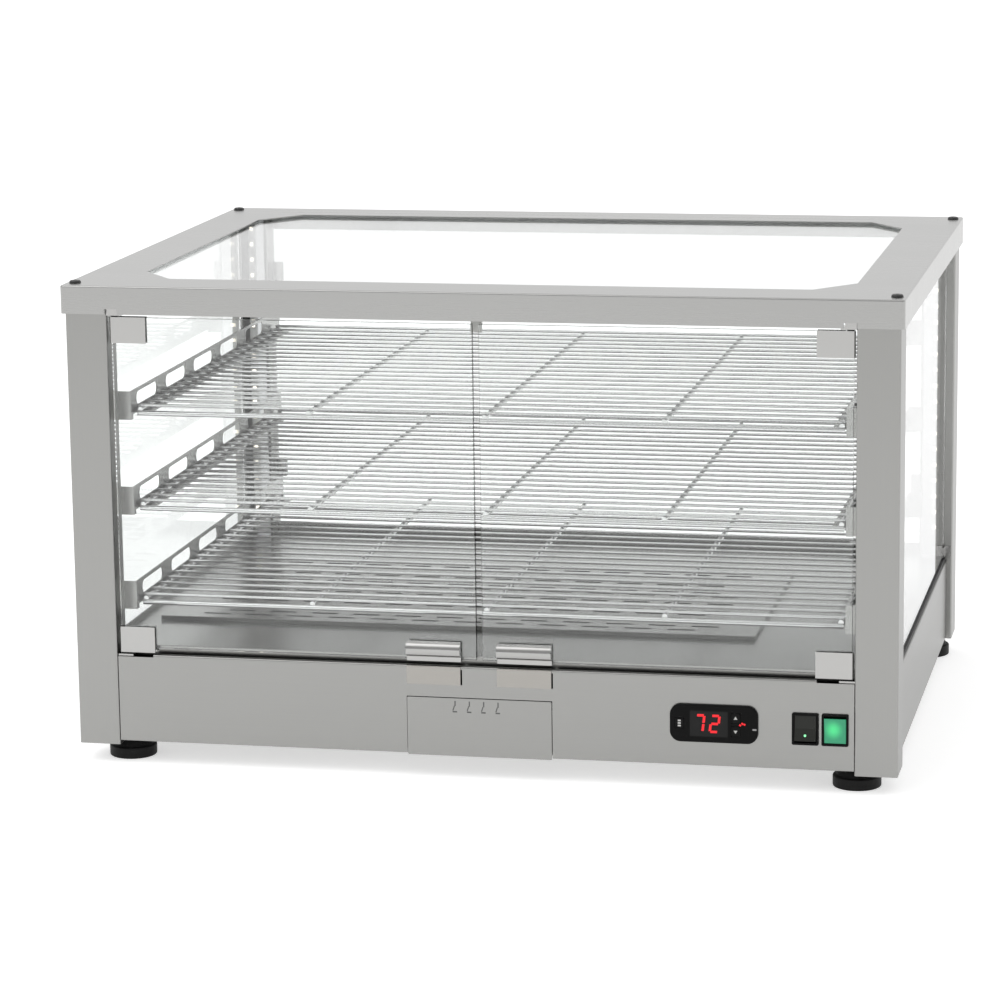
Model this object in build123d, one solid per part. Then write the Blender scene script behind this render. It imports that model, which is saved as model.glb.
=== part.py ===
"""Heated countertop display cabinet with two hinged glass doors and three wire racks.

All lengths are millimetres. The origin is on the counter, under the middle of the
cabinet. X runs to the right, Y to the back and Z up, and the doors are at the front.
The body is folded stainless sheet: four corner posts carry the cap, the glass walls
and the rack rails, and a shallow base holds the heater, the water drawer and the
controls.
"""
from build123d import *
import math
import os

# Whole cabinet
WIDTH = 784.0
DEPTH = 600.0
BODY_HEIGHT = 439.0
FOOT_HEIGHT = 18.5
SHEET = 1.2
BEND = 1.6

# Cap over the posts
CAP_FLANGE = 26.5
CAP_OVERHANG = 3.5
CAP_CORNER = 3.0
TOP_BORDER_SIDE = 53.5
TOP_BORDER_FRONT = 55.0
TOP_CHAMFER_X = 36.0
TOP_CHAMFER_Y = 45.0
CAP_SCREW_INSET_X = 9.0
CAP_SCREW_INSET_Y = 19.5

# Corner posts, folded to a C with a narrow hem
POST_FACE = 39.5
POST_SIDE = 45.0
POST_RETURN = 30.0
POST_HEM = 14.5
POST_TAB = 30.0

# Base
FRONT_RECESS = 1.3
PANEL_BOTTOM = 3.5
PANEL_TOP = 88.0
PANEL_FLANGE = 6.0
PANEL_FOOT_FLANGE = 16.0
SIDE_RECESS = 5.5
SIDE_TOP = 84.0
SIDE_RISE = 1.1
SIDE_FLANGE = 12.0
FLOOR_HEIGHT = 86.0
LIP_HEIGHT = 9.5
LIP_INSET = 13.3
FLOOR_UPSTAND = 5.0
FIT_GAP = 0.5

# Slotted cover in the floor
COVER_LEFT_MARGIN = 21.5
COVER_RIGHT_MARGIN = 137.5
COVER_FRONT_MARGIN = 141.2
COVER_BACK_MARGIN = 135.2
COVER_RIM = 4.0
COVER_LAP = 10.0
SLOT_LENGTH = 28.0
SLOT_WIDTH = 5.0
SLOT_PITCH_X = 42.0
SLOT_PITCH_Y = 16.0

# Glass
SIDE_GLASS = 4.0
SIDE_GLASS_INSET = 3.3
SIDE_GLASS_END_GAP = 0.3
TOP_GLASS = 5.0
DOOR_GLASS = 5.0
TOP_GLASS_LAP = 19.0
TOP_SEAL = 1.5
SEAL_WALL = 1.6
SEAL_HEIGHT = 3.5
REAR_GLASS_INSET = 6.5
REAR_GLASS_SIDE_GAP = 2.3
CLIP_WIDTH = 20.0
CLIP_ARM = 11.0
CLIP_SHEET = 1.2
CLIP_FOOT = 7.6
TOP_CLIP_SHARE = 0.57

# Doors
DOOR_INSET = 4.8
DOOR_SIDE_GAP = 3.3
DOOR_CENTRE_GAP = 6.0
DOOR_BOTTOM = 94.0
DOOR_TOP_MARGIN = 30.5
HINGE_INSET = 6.3
CLAMP_WIDTH = 34.5
CLAMP_HEIGHT = 24.5
CLAMP_SHEET = 1.2
CLAMP_GAP = 0.2
CLAMP_LAP = 0.7
CLAMP_DROP = 4.4
PIN_RADIUS = 2.0
PIN_PLAY = 0.05
PIN_ENGAGEMENT = 7.0
PIN_BLOCK = 8.4
BUSH_RADIUS = 3.4
BUSH_HEIGHT = 1.8
LUG_WIDTH = 14.5
LUG_SHEET = 2.0
LUG_TAB = 6.5
LUG_TAB_WIDTH = 10.5
LUG_LEG = 20.0
LUG_SETBACK = 2.0
LUG_SLOT_WIDTH = 35.0
LUG_SLOT_HEIGHT = 2.3
LUG_LIP_GAP = 0.4

# Door handles and the catch plates under them
HANDLE_INNER = 17.3
HANDLE_WIDTH = 51.2
HANDLE_SHEET = 1.5
HANDLE_TOP = 111.0
HANDLE_LIP = 4.0
HANDLE_BOW = 5.6
CATCH_BOTTOM = 70.5
CATCH_SLIT = 1.4

# Door stop
STOP_WIDTH = 10.0
STOP_DEPTH = 5.0
STOP_REACH = 8.0
STOP_CLEARANCE = 0.3

# Rack rails
RAIL_TOP_MARGIN = 104.0
RAIL_BOTTOM_RISE = 66.6
RAIL_HEIGHT = 23.0
RAIL_BRACKET_DROP = 4.0
RAIL_INSET = 11.0
RAIL_FLANGE = 16.0
RAIL_NOTCH = 5.0
RAIL_FLANGE_SETBACK = 16.0
RAIL_HOOK = 13.0
RAIL_SLOT_BRIDGE = 28.5
RAIL_SLOT_WIDTH = 12.5
RAIL_SLOT_COUNT = 5
RAIL_SLOT_FIRST = 51.0
RAIL_SLOT_LAST = 99.2
RAIL_SLOT_DROP = 9.7
RACK_NAMES = ("top", "middle", "bottom")

# Wire racks
RACK_SIDE_GAP = 2.8
RACK_FRONT_SETBACK = 9.5
RACK_BACK_SETBACK = 23.5
RACK_WIRE = 3.0
RACK_ROD = 5.0
RACK_WIRE_PITCH = 24.5
RACK_ROD_SHARE = 0.507
RACK_END_INSET = 2.5
RACK_FRONT_DROP = 7.0
RACK_GAP = 0.3
WELD_BITE = 0.4

# Water drawer
DRAWER_CENTRE = 0.0
DRAWER_WIDTH = 136.8
DRAWER_BOTTOM = 2.6
DRAWER_TOP = 58.0
DRAWER_PROUD = 0.9
DRAWER_GAP = 0.6
DRAWER_LAP = 4.0
TRAY_WALL = 1.0
TRAY_LENGTH = 236.0
TRAY_SIDE_GAP = 4.6
TRAY_FLOOR = 8.0
TRAY_TOP = 45.0
TRAY_RIM = 3.0
TRAY_GAP = 0.3
RUNNER_LEDGE = 4.4

# Controller
CONTROLLER_INSET = 129.0
CONTROLLER_HEIGHT_AT = 44.0
CONTROLLER_WIDTH = 81.5
CONTROLLER_HEIGHT = 35.5
CONTROLLER_BEZEL = 3.4
CONTROLLER_CORNER = 10.0
CONTROLLER_BODY_WIDTH = 71.0
CONTROLLER_BODY_HEIGHT = 29.0
CONTROLLER_BODY_DEPTH = 58.0
WINDOW_SHIFT = -4.5
WINDOW_WIDTH = 35.0
WINDOW_HEIGHT = 24.0
WINDOW_DEPTH = 1.0
KEY_WIDTH = 8.0
KEY_HEIGHT = 9.0
KEY_DEPTH = 2.0
KEY_PROUD = 0.3
KEY_TRAVEL_ROOM = 0.9
KEY_GAP = 0.35
SET_KEY_AT = -31.7
STEP_KEYS_AT = 20.3
KEY_SPACING = 12.4

# Rocker switches
SWITCH_INSETS = (45.0, 17.8)
SWITCH_HEIGHT_AT = 42.3
SWITCH_WIDTH = 24.6
SWITCH_HEIGHT = 30.0
SWITCH_BEZEL = 1.8
SWITCH_FRAME = 2.0
SWITCH_BODY_WALL = 1.2
SWITCH_BODY_DEPTH = 24.0
ROCKER_SIDE_GAP = 0.5
ROCKER_END_GAP = 1.2
ROCKER_PIVOT_DEPTH = 4.0
ROCKER_END_PROUD = 2.2
ROCKER_WAIST_PROUD = 1.0
ROCKER_BACK = 3.5
ROCKER_TILT = 7.0

# Feet and screws
FOOT_DIAMETER = 45.0
FOOT_TOP_DIAMETER = 41.0
FOOT_RIM = 11.0
FOOT_FRONT_INSET = 41.0
FOOT_REAR_INSET = 25.5
FOOT_INSET_Y = 36.5
FOOT_BOSS_RADIUS = 4.4
FOOT_SCREW_RADIUS = 3.0
FOOT_SCREW_LENGTH = 12.0
FOOT_NUT_RADIUS = 5.5
FOOT_NUT_HEIGHT = 5.0
CAP_SCREW_RADIUS = 2.5
CAP_SCREW_HEAD_RADIUS = 5.5
CAP_SCREW_HEAD = 2.4
CAP_SCREW_LENGTH = 12.0
HOLE_PLAY = 0.3

# Heater, lights and electrics
HEATER_RADIUS = 4.0
HEATER_HEIGHT_AT = 68.0
HEATER_LEFT_MARGIN = 34.0
HEATER_RIGHT_MARGIN = 31.0
HEATER_RUNS = 4
HEATER_SPREAD = 0.214
HEATER_BRACKET_INSETS = (68.0, 55.0)
HEATER_BRACKET_SHEET = 2.0
HEATER_BRACKET_MARGIN = 8.0
LED_PITCH = 16.7
LED_TOP_MARGIN = 13.0
LED_SIZE = 5.0
LED_HEIGHT = 1.4
LED_TAPE = 0.8
LED_TAPE_WIDTH = 8.0
LED_BOTTOM = 108.0
LED_PROFILE_SHEET = 1.2
LED_PROFILE_HEM_GAP = 5.0
LED_PROFILE_HOOK_GAP = 0.6
LED_PROFILE_SETBACK = 1.8
LED_TAB = 12.0
INLET_INSET = 79.0
INLET_HEIGHT_AT = 42.0
INLET_WIDTH = 31.0
INLET_HEIGHT = 24.0
INLET_FLANGE = 1.6
INLET_CAVITY_WIDTH = 24.4
INLET_CAVITY_HEIGHT = 16.4
INLET_CAVITY_DEPTH = 16.0
INLET_BODY_WALL = 1.5
INLET_PIN_LENGTH = 10.0
VENT_COUNT = 8
VENT_LENGTH = 30.0
VENT_WIDTH = 4.0
VENT_PITCH = 14.0
VENT_INSET = 199.0
TERMINAL_INSET_X = 94.0
TERMINAL_INSET_Y = 86.5
TERMINAL_COUNT = 5
THERMOSTAT_INSET_X = 49.0
THERMOSTAT_INSET_Y = 106.5
PROBE_INSET = 69.0
DRIVER_INSET = 39.0
DRIVER_AT = 85.0

# Levels and planes that follow from the sizes above
base_z = FOOT_HEIGHT
cap_top = base_z + BODY_HEIGHT
cap_under = cap_top - SHEET
flange_bottom = cap_top - CAP_FLANGE
post_x = WIDTH / 2 - CAP_OVERHANG
post_y = DEPTH / 2 - CAP_OVERHANG
inner_x = post_x - POST_FACE
return_y = post_y - POST_RETURN
hem_x = post_x - POST_HEM
hem_y = post_y - POST_SIDE
panel_y = post_y - FRONT_RECESS
panel_x = inner_x - FIT_GAP
side_x = post_x - SIDE_RECESS
floor_z = base_z + FLOOR_HEIGHT
panel_bottom_z = base_z + PANEL_BOTTOM
panel_top_z = base_z + PANEL_TOP
side_top_z = base_z + SIDE_TOP
lip_y = post_y - LIP_INSET
glass_outer_x = side_x - SIDE_GLASS_INSET
glass_inner_x = glass_outer_x - SIDE_GLASS
pan_x = glass_inner_x - SEAL_WALL - 0.6
top_glass_z = cap_under - TOP_SEAL - TOP_GLASS
opening_x = WIDTH / 2 - TOP_BORDER_SIDE
opening_y = DEPTH / 2 - TOP_BORDER_FRONT
top_glass_x = opening_x + TOP_GLASS_LAP
top_glass_y = opening_y + TOP_GLASS_LAP
door_front_y = -(post_y - DOOR_INSET)
door_back_y = door_front_y + DOOR_GLASS
hinge_y = (door_front_y + door_back_y) / 2
hinge_x = inner_x - HINGE_INSET
door_outer_x = inner_x - DOOR_SIDE_GAP
door_bottom_z = base_z + DOOR_BOTTOM
door_top_z = cap_top - DOOR_TOP_MARGIN
rail_x = inner_x - RAIL_INSET
bottom_plate_z = panel_bottom_z - SHEET
top_rail_z = cap_top - RAIL_TOP_MARGIN
bottom_rail_z = floor_z + RAIL_BOTTOM_RISE
rack_half = rail_x - SHEET - RACK_SIDE_GAP
rack_front = -(return_y - RACK_FRONT_SETBACK)
rack_back = return_y - RACK_BACK_SETBACK
cover_left = -(pan_x - COVER_LEFT_MARGIN)
cover_right = pan_x - COVER_RIGHT_MARGIN
cover_front = -(lip_y - COVER_FRONT_MARGIN)
cover_back = lip_y - COVER_BACK_MARGIN
heater_left = cover_left + HEATER_LEFT_MARGIN
heater_right = cover_right - HEATER_RIGHT_MARGIN
heater_pitch = HEATER_SPREAD * (cover_back - cover_front)
controller_x = inner_x - CONTROLLER_INSET
window_x = controller_x + WINDOW_SHIFT
switch_places = [inner_x - inset for inset in SWITCH_INSETS]
switch_open_x = SWITCH_WIDTH / 2 - SWITCH_FRAME
switch_open_z = SWITCH_HEIGHT / 2 - SWITCH_FRAME
inlet_x = inner_x - INLET_INSET


def block(x0, x1, y0, y1, z0, z1):
    """A box between two corners, given in any order."""
    size = (abs(x1 - x0), abs(y1 - y0), abs(z1 - z0))
    centre = ((x0 + x1) / 2, (y0 + y1) / 2, (z0 + z1) / 2)
    return Pos(*centre) * Box(*size)


def post_along(axis, x, y, z, radius, length):
    """A cylinder that starts at x, y, z and runs along +X, +Y or +Z."""
    turn = {"x": Rot(0, 90, 0), "y": Rot(-90, 0, 0), "z": Rot(0, 0, 0)}[axis]
    shift = {"x": (length / 2, 0, 0), "y": (0, length / 2, 0), "z": (0, 0, length / 2)}[axis]
    return Pos(x + shift[0], y + shift[1], z + shift[2]) * turn * Cylinder(radius, length)


def strip_outline(points, thickness):
    """The closed outline of a sheet whose outer skin follows points, wall on the right."""
    def normal(a, b):
        length = math.dist(a, b)
        return ((b[1] - a[1]) / length, -(b[0] - a[0]) / length)

    inner = []
    for i, point in enumerate(points):
        before = normal(points[i - 1], point) if i > 0 else None
        after = normal(point, points[i + 1]) if i < len(points) - 1 else None
        first = before or after
        second = after or before
        scale = thickness / (1 + first[0] * second[0] + first[1] * second[1])
        shift = ((first[0] + second[0]) * scale, (first[1] + second[1]) * scale)
        inner.append((point[0] + shift[0], point[1] + shift[1]))
    return list(points) + inner[::-1]


def folded(points, thickness, bend=BEND):
    """A face for a folded sheet, its outer corners rounded to the bend radius."""
    face = make_face(Polyline(strip_outline(points, thickness), close=True))
    corners = []
    for point in points[1:-1]:
        corners.append(min(face.vertices(), key=lambda v: math.dist((v.X, v.Y), point)))
    return fillet(corners, bend)


def folded_up(points, thickness, z0, z1, bend=BEND):
    """A folded sheet given in plan and run from z0 to z1."""
    return Pos(0, 0, z0) * extrude(folded(points, thickness, bend), z1 - z0)


def folded_along_x(points, thickness, x0, x1, bend=BEND):
    """A folded sheet given as (y, z) and run along X."""
    face = Plane((x0, 0, 0), x_dir=(0, 1, 0), z_dir=(1, 0, 0)) * folded(points, thickness, bend)
    return extrude(face, x1 - x0, dir=(1, 0, 0))


def folded_along_y(points, thickness, y0, y1, bend=BEND):
    """A folded sheet given as (x, z) and run along Y."""
    face = Plane((0, y0, 0), x_dir=(1, 0, 0), z_dir=(0, -1, 0)) * folded(points, thickness, bend)
    return extrude(face, y1 - y0, dir=(0, 1, 0))


def right_of(part):
    """The mirror image on the other side of the cabinet's middle."""
    return mirror(part, about=Plane.YZ)


def behind(part):
    """The mirror image at the back."""
    return mirror(part, about=Plane.XZ)


def one(part):
    """The single solid inside a result of adding and cutting."""
    solids = part.solids()
    if len(solids) != 1:
        raise ValueError(f"expected one solid, found {len(solids)}")
    return solids[0]


def group(parts):
    """Several separate solids that share a name."""
    return Compound(children=[solid for part in parts for solid in part.solids()])


# Frame


def corner_post():
    """The front left post, with tabs that take the cap screw and close its foot."""
    line = [(-inner_x, -return_y), (-inner_x, -post_y), (-post_x, -post_y)]
    line += [(-post_x, -hem_y), (-hem_x, -hem_y)]
    post = folded_up(line, SHEET, base_z, cap_under)
    tab_x = (-post_x + SHEET / 2, -post_x + POST_TAB)
    tab_y = (-post_y + SHEET / 2, -post_y + POST_TAB)
    post += block(*tab_x, *tab_y, cap_under - SHEET, cap_under)
    post += block(*tab_x, *tab_y, base_z, base_z + SHEET)
    x, y = cap_screw_places()[0]
    post -= post_along("z", x, y, cap_under - 2 * SHEET, CAP_SCREW_RADIUS + HOLE_PLAY, 4 * SHEET)
    return one(post)


def cap_screw_places():
    """Screw centres on the cap, front left first."""
    x = WIDTH / 2 - CAP_SCREW_INSET_X
    y = DEPTH / 2 - CAP_SCREW_INSET_Y
    return [(-x, -y), (x, -y), (-x, y), (x, y)]


def octagon(half_x, half_y, cut_x, cut_y):
    """A rectangle with its corners cut off."""
    quarter = [(half_x - cut_x, -half_y), (half_x, -half_y + cut_y)]
    right = quarter + [(x, -y) for x, y in quarter[::-1]]
    return make_face(Polyline(right + [(-x, y) for x, y in right[::-1]], close=True))


def top_frame():
    """The cap: a folded tray turned over, with a window for the top glass."""
    shell = Pos(0, 0, cap_top - CAP_FLANGE / 2) * Box(WIDTH, DEPTH, CAP_FLANGE)
    shell = fillet(shell.edges().filter_by(Axis.Z), CAP_CORNER)
    shell = fillet(shell.faces().sort_by(Axis.Z)[-1].edges(), BEND)
    hollow = Pos(0, 0, cap_under - CAP_FLANGE / 2)
    shell -= hollow * Box(WIDTH - 2 * SHEET, DEPTH - 2 * SHEET, CAP_FLANGE)
    window = octagon(opening_x, opening_y, TOP_CHAMFER_X, TOP_CHAMFER_Y)
    shell -= Pos(0, 0, cap_under - SHEET) * extrude(window, 3 * SHEET)
    for side in (-1, 1):
        outer = side * (inner_x + FIT_GAP)
        inner = side * (inner_x - LUG_TAB_WIDTH - 2 * FIT_GAP)
        shell -= block(outer, inner, -DEPTH, -post_y, flange_bottom - 1, lug_top_z() + LUG_TAB - LUG_SHEET)
    for x, y in cap_screw_places():
        shell -= post_along("z", x, y, cap_under - SHEET, CAP_SCREW_RADIUS + HOLE_PLAY, 3 * SHEET)
    return one(shell)


def lug_top_z():
    """Upper side of the top hinge lug."""
    return top_clamp_z()[1] + BUSH_HEIGHT + LUG_SHEET


# Base


def front_sheet(top_flange):
    """A base panel across the front or back, before its cut-outs."""
    line = [
        (-panel_y + PANEL_FOOT_FLANGE, panel_bottom_z),
        (-panel_y, panel_bottom_z),
        (-panel_y, panel_top_z),
        (-panel_y + top_flange, panel_top_z),
    ]
    return folded_along_x(line, SHEET, -panel_x, panel_x)


def base_front_panel():
    """The control panel, with openings for the drawer, the controller and the switches."""
    panel = front_sheet(PANEL_FLANGE)
    skin = (-panel_y - 1, -panel_y + SHEET + 1)
    foot = -panel_y + PANEL_FOOT_FLANGE + 1
    panel -= block(*drawer_notch(), *skin, panel_bottom_z - 1, base_z + DRAWER_TOP + DRAWER_GAP)
    panel -= block(*drawer_notch(), -panel_y - 1, foot, panel_bottom_z - 1, panel_bottom_z + SHEET + BEND)
    z = base_z + CONTROLLER_HEIGHT_AT
    half_x = CONTROLLER_BODY_WIDTH / 2 + FIT_GAP
    half_z = CONTROLLER_BODY_HEIGHT / 2 + FIT_GAP
    panel -= block(controller_x - half_x, controller_x + half_x, *skin, z - half_z, z + half_z)
    z = base_z + SWITCH_HEIGHT_AT
    half_x = switch_open_x + SWITCH_BODY_WALL + HOLE_PLAY
    half_z = switch_open_z + SWITCH_BODY_WALL + HOLE_PLAY
    for x in switch_places:
        panel -= block(x - half_x, x + half_x, *skin, z - half_z, z + half_z)
    for edge in (-HANDLE_INNER, HANDLE_INNER + HANDLE_WIDTH):
        slit = (edge, edge + CATCH_SLIT)
        panel -= block(*slit, *skin, base_z + CATCH_BOTTOM, panel_top_z - BEND - SHEET)
    for side in (-1, 1):
        inner = side * (inner_x - LUG_SLOT_WIDTH)
        low = panel_top_z - LUG_SLOT_HEIGHT
        panel -= block(inner, side * inner_x, -panel_y - 1, -lip_y, low, panel_top_z + 1)
    return one(panel)


def drawer_notch():
    """Left and right edges of the notch that the drawer's face fills."""
    half = DRAWER_WIDTH / 2 + DRAWER_GAP
    return DRAWER_CENTRE - half, DRAWER_CENTRE + half


def base_rear_panel():
    """The back of the base, with the inlet's opening and vents for the electrics."""
    panel = behind(front_sheet(post_y - FRONT_RECESS - rear_glass_y()[0] + SEAL_WALL))
    skin = (panel_y - SHEET - 1, panel_y + 1)
    z = base_z + INLET_HEIGHT_AT
    half_x = INLET_CAVITY_WIDTH / 2 + INLET_BODY_WALL + HOLE_PLAY
    half_z = INLET_CAVITY_HEIGHT / 2 + INLET_BODY_WALL + HOLE_PLAY
    panel -= block(inlet_x - half_x, inlet_x + half_x, *skin, z - half_z, z + half_z)
    for i in range(VENT_COUNT):
        x = VENT_INSET - inner_x + i * VENT_PITCH
        slot = extrude(SlotOverall(VENT_LENGTH, VENT_WIDTH, rotation=90), SHEET + 2)
        panel -= Pos(x, panel_y + 1, z) * Rot(90, 0, 0) * slot
    return one(panel)


def base_left_panel():
    """A plain recessed side of the base; its top flange carries the side glass."""
    bottom = base_z + SIDE_RISE
    line = [
        (-side_x + SIDE_FLANGE, side_top_z),
        (-side_x, side_top_z),
        (-side_x, bottom),
        (-side_x + SIDE_FLANGE, bottom),
    ]
    reach = hem_y - FIT_GAP
    return one(folded_along_y(line[::-1], SHEET, -reach, reach))


def base_bottom():
    """The plate under everything; it is notched round the posts."""
    z0 = bottom_plate_z
    wide = hem_x - FIT_GAP
    plate = block(-wide, wide, -return_y + FIT_GAP, return_y - FIT_GAP, z0, z0 + SHEET)
    reach = lip_y - FIT_GAP
    plate += block(-panel_x, panel_x, -reach, reach, z0, z0 + SHEET)
    front = -panel_y + PANEL_FOOT_FLANGE + FIT_GAP
    plate -= block(*drawer_notch(), -reach - 1, front, z0 - 1, z0 + 2 * SHEET)
    for x, y in foot_places():
        plate -= post_along("z", x, y, z0 - 1, FOOT_SCREW_RADIUS + HOLE_PLAY, SHEET + 2)
    return one(plate)


def floor_pan():
    """The cabinet floor, with a raised lip behind the doors and a well under the cover."""
    top = floor_z
    pan = block(-pan_x, pan_x, -return_y + FIT_GAP, return_y - FIT_GAP, top - SHEET, top)
    pan += block(-panel_x, panel_x, -lip_y, lip_y, top - SHEET, top)
    for side in (-1, 1):
        y_outer = side * lip_y
        pan += block(-panel_x, panel_x, y_outer, y_outer - side * SHEET, top - SHEET, top + LIP_HEIGHT)
        hem = (y_outer, y_outer - side * 2 * SHEET)
        pan += block(-panel_x, panel_x, *hem, top + LIP_HEIGHT - 3 * SHEET, top + LIP_HEIGHT)
        x_outer = side * pan_x
        reach = return_y - FIT_GAP
        pan += block(x_outer, x_outer - side * SHEET, -reach, reach, top - SHEET, top + FLOOR_UPSTAND)
    well_x = (cover_left + COVER_LAP, cover_right - COVER_LAP)
    well_y = (cover_front + COVER_LAP, cover_back - COVER_LAP)
    pan -= block(*well_x, *well_y, top - 2 * SHEET, top + SHEET)
    return one(pan)


def slotted_cover():
    """The loose plate over the well, with staggered slots and a turned down rim."""
    low = floor_z + RACK_GAP
    high = low + COVER_RIM
    cover = block(cover_left, cover_right, cover_front, cover_back, low, high)
    wall = SHEET
    hollow_x = (cover_left + wall, cover_right - wall)
    hollow_y = (cover_front + wall, cover_back - wall)
    cover -= block(*hollow_x, *hollow_y, low - 1, high - wall)
    width = cover_right - cover_left
    depth = cover_back - cover_front
    columns = int((width - SLOT_PITCH_X - SLOT_LENGTH) // SLOT_PITCH_X)
    rows = int((depth - 2 * SLOT_PITCH_Y) // SLOT_PITCH_Y) + 1
    centre_x = (cover_left + cover_right) / 2
    centre_y = (cover_front + cover_back) / 2
    places = []
    for row in range(rows):
        y = centre_y + (row - (rows - 1) / 2) * SLOT_PITCH_Y
        shift = SLOT_PITCH_X / 2 if row % 2 else 0.0
        for column in range(columns):
            x = centre_x + (column - columns / 2) * SLOT_PITCH_X + shift + SLOT_PITCH_X / 4
            places.append((x, y))
    slots = Sketch() + [Pos(x, y) * SlotOverall(SLOT_LENGTH, SLOT_WIDTH) for x, y in places]
    return one(cover - Pos(0, 0, high - 2 * wall) * extrude(slots, 3 * wall))


# Fixed glass


def top_glass():
    """The roof pane, under the cap's window."""
    height = (top_glass_z, top_glass_z + TOP_GLASS)
    return one(block(-top_glass_x, top_glass_x, -top_glass_y, top_glass_y, *height))


def side_glass_z():
    """Bottom and top of the side panes."""
    return side_top_z + SHEET, cap_under - TOP_SEAL


def left_glass():
    """A side pane between the posts' hems."""
    reach = hem_y - CLIP_SHEET - SIDE_GLASS_END_GAP
    return one(block(-glass_outer_x, -glass_inner_x, -reach, reach, *side_glass_z()))


def rear_glass_y():
    """Front and back planes of the rear pane."""
    back = post_y - REAR_GLASS_INSET
    return back - SIDE_GLASS, back


def rear_glass():
    """The fixed pane at the back, between the posts' returns."""
    reach = inner_x - REAR_GLASS_SIDE_GAP
    return one(block(-reach, reach, *rear_glass_y(), panel_top_z + SHEET, cap_under - TOP_SEAL))


def channel(length_axis, reach, low, high, z):
    """A U-shaped seal round a pane's bottom edge; low and high are the pane's planes."""
    if length_axis == "y":
        outer = block(low - SEAL_WALL, high + SEAL_WALL, -reach, reach, z, z + SEAL_HEIGHT)
        return outer - block(low, high, -reach - 1, reach + 1, z + SHEET, z + SEAL_HEIGHT + 1)
    outer = block(-reach, reach, low - SEAL_WALL, high + SEAL_WALL, z, z + SEAL_HEIGHT)
    return outer - block(-reach - 1, reach + 1, low, high, z + SHEET, z + SEAL_HEIGHT + 1)


def glass_seals():
    """Seals under the three fixed walls, and four strips between the roof pane and the cap."""
    reach = hem_y - FIT_GAP
    left = channel("y", reach, -glass_outer_x, -glass_inner_x, side_top_z)
    rear = channel("x", inner_x - REAR_GLASS_SIDE_GAP, *rear_glass_y(), panel_top_z)
    lap = TOP_GLASS_LAP - 4
    z = (cap_under - TOP_SEAL, cap_under)
    edge_x = (-top_glass_x, -top_glass_x + lap)
    strip_y = top_glass_y - lap
    side = block(*edge_x, -strip_y, strip_y, *z)
    front = block(-top_glass_x, top_glass_x, -top_glass_y, -strip_y, *z)
    return group([left, right_of(left), rear, side, right_of(side), front, behind(front)])


def top_glass_clip(y):
    """A Z-shaped clip that holds one edge of the roof pane up against the cap."""
    edge = -top_glass_x - 0.5
    under = top_glass_z - CLIP_SHEET
    half = CLIP_WIDTH / 2
    clip = block(edge - CLIP_SHEET, edge, y - half, y + half, under, cap_under)
    return clip + block(edge - CLIP_SHEET, edge + CLIP_ARM, y - half, y + half, under, top_glass_z)


def rear_glass_clip(z):
    """A U-shaped clip on the rear post's return that holds the rear pane's edge."""
    front, back = rear_glass_y()
    gap = 0.1
    x_outer = -inner_x + 0.2
    x_web = x_outer + CLIP_SHEET
    y0 = front - gap - CLIP_SHEET
    y1 = back + gap + CLIP_SHEET
    height = (z - CLIP_WIDTH / 2, z + CLIP_WIDTH / 2)
    clip = block(x_outer, x_web, y0, y1, *height)
    for y in (y0, y1 - CLIP_SHEET):
        clip += block(x_outer, x_outer + CLIP_ARM, y, y + CLIP_SHEET, *height)
    return clip


def side_glass_clip(z):
    """A clip on the front left post's hem that holds the end of a side pane."""
    outer = -glass_outer_x - CLIP_SHEET
    inner = -glass_inner_x + CLIP_SHEET
    height = (z, z + CLIP_ARM)
    clip = block(-glass_outer_x - CLIP_FOOT, inner, -hem_y, -hem_y + CLIP_SHEET, *height)
    clip += block(outer, outer + CLIP_SHEET, -hem_y, -hem_y + CLIP_ARM, *height)
    clip += block(inner - CLIP_SHEET, inner, -hem_y, -hem_y + CLIP_ARM, *height)
    return clip


def glass_clips():
    """All the fixed clips of the roof, the rear pane and the side panes."""
    clips = []
    for side in (-1, 1):
        clip = top_glass_clip(side * TOP_CLIP_SHARE * top_glass_y)
        clips += [clip, right_of(clip)]
    span = cap_under - panel_top_z
    for share in (0.2, 0.8):
        clip = rear_glass_clip(panel_top_z + share * span)
        clips += [clip, right_of(clip)]
    for z in (side_top_z + SEAL_HEIGHT + 1, side_glass_z()[1] - CLIP_ARM - 1):
        clip = side_glass_clip(z)
        clips += [clip, right_of(clip), behind(clip), right_of(behind(clip))]
    return group(clips)


# Doors; the left one is drawn and mirrored


def bottom_clamp_z():
    """Bottom and top of the lower door clamp."""
    low = door_bottom_z - CLAMP_DROP
    return low, low + CLAMP_HEIGHT


def top_clamp_z():
    """Bottom and top of the upper door clamp."""
    high = door_top_z + CLAMP_LAP
    return high - CLAMP_HEIGHT, high


def bottom_lug_z():
    """Under side of the bottom hinge lug."""
    return bottom_clamp_z()[0] - BUSH_HEIGHT - LUG_SHEET


def door_glass():
    """The left door's pane, cut away round the hinge blocks."""
    pane = block(-door_outer_x, -DOOR_CENTRE_GAP / 2, door_front_y, door_back_y, door_bottom_z, door_top_z)
    half = PIN_BLOCK / 2 + CLAMP_GAP
    corners = [
        (door_bottom_z - 1, bottom_clamp_z()[0] + PIN_BLOCK),
        (top_clamp_z()[1] - PIN_BLOCK, door_top_z + 1),
    ]
    for low, high in corners:
        pane -= block(-door_outer_x - 1, -hinge_x + half, door_front_y - 1, door_back_y + 1, low, high)
    return one(pane)


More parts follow.
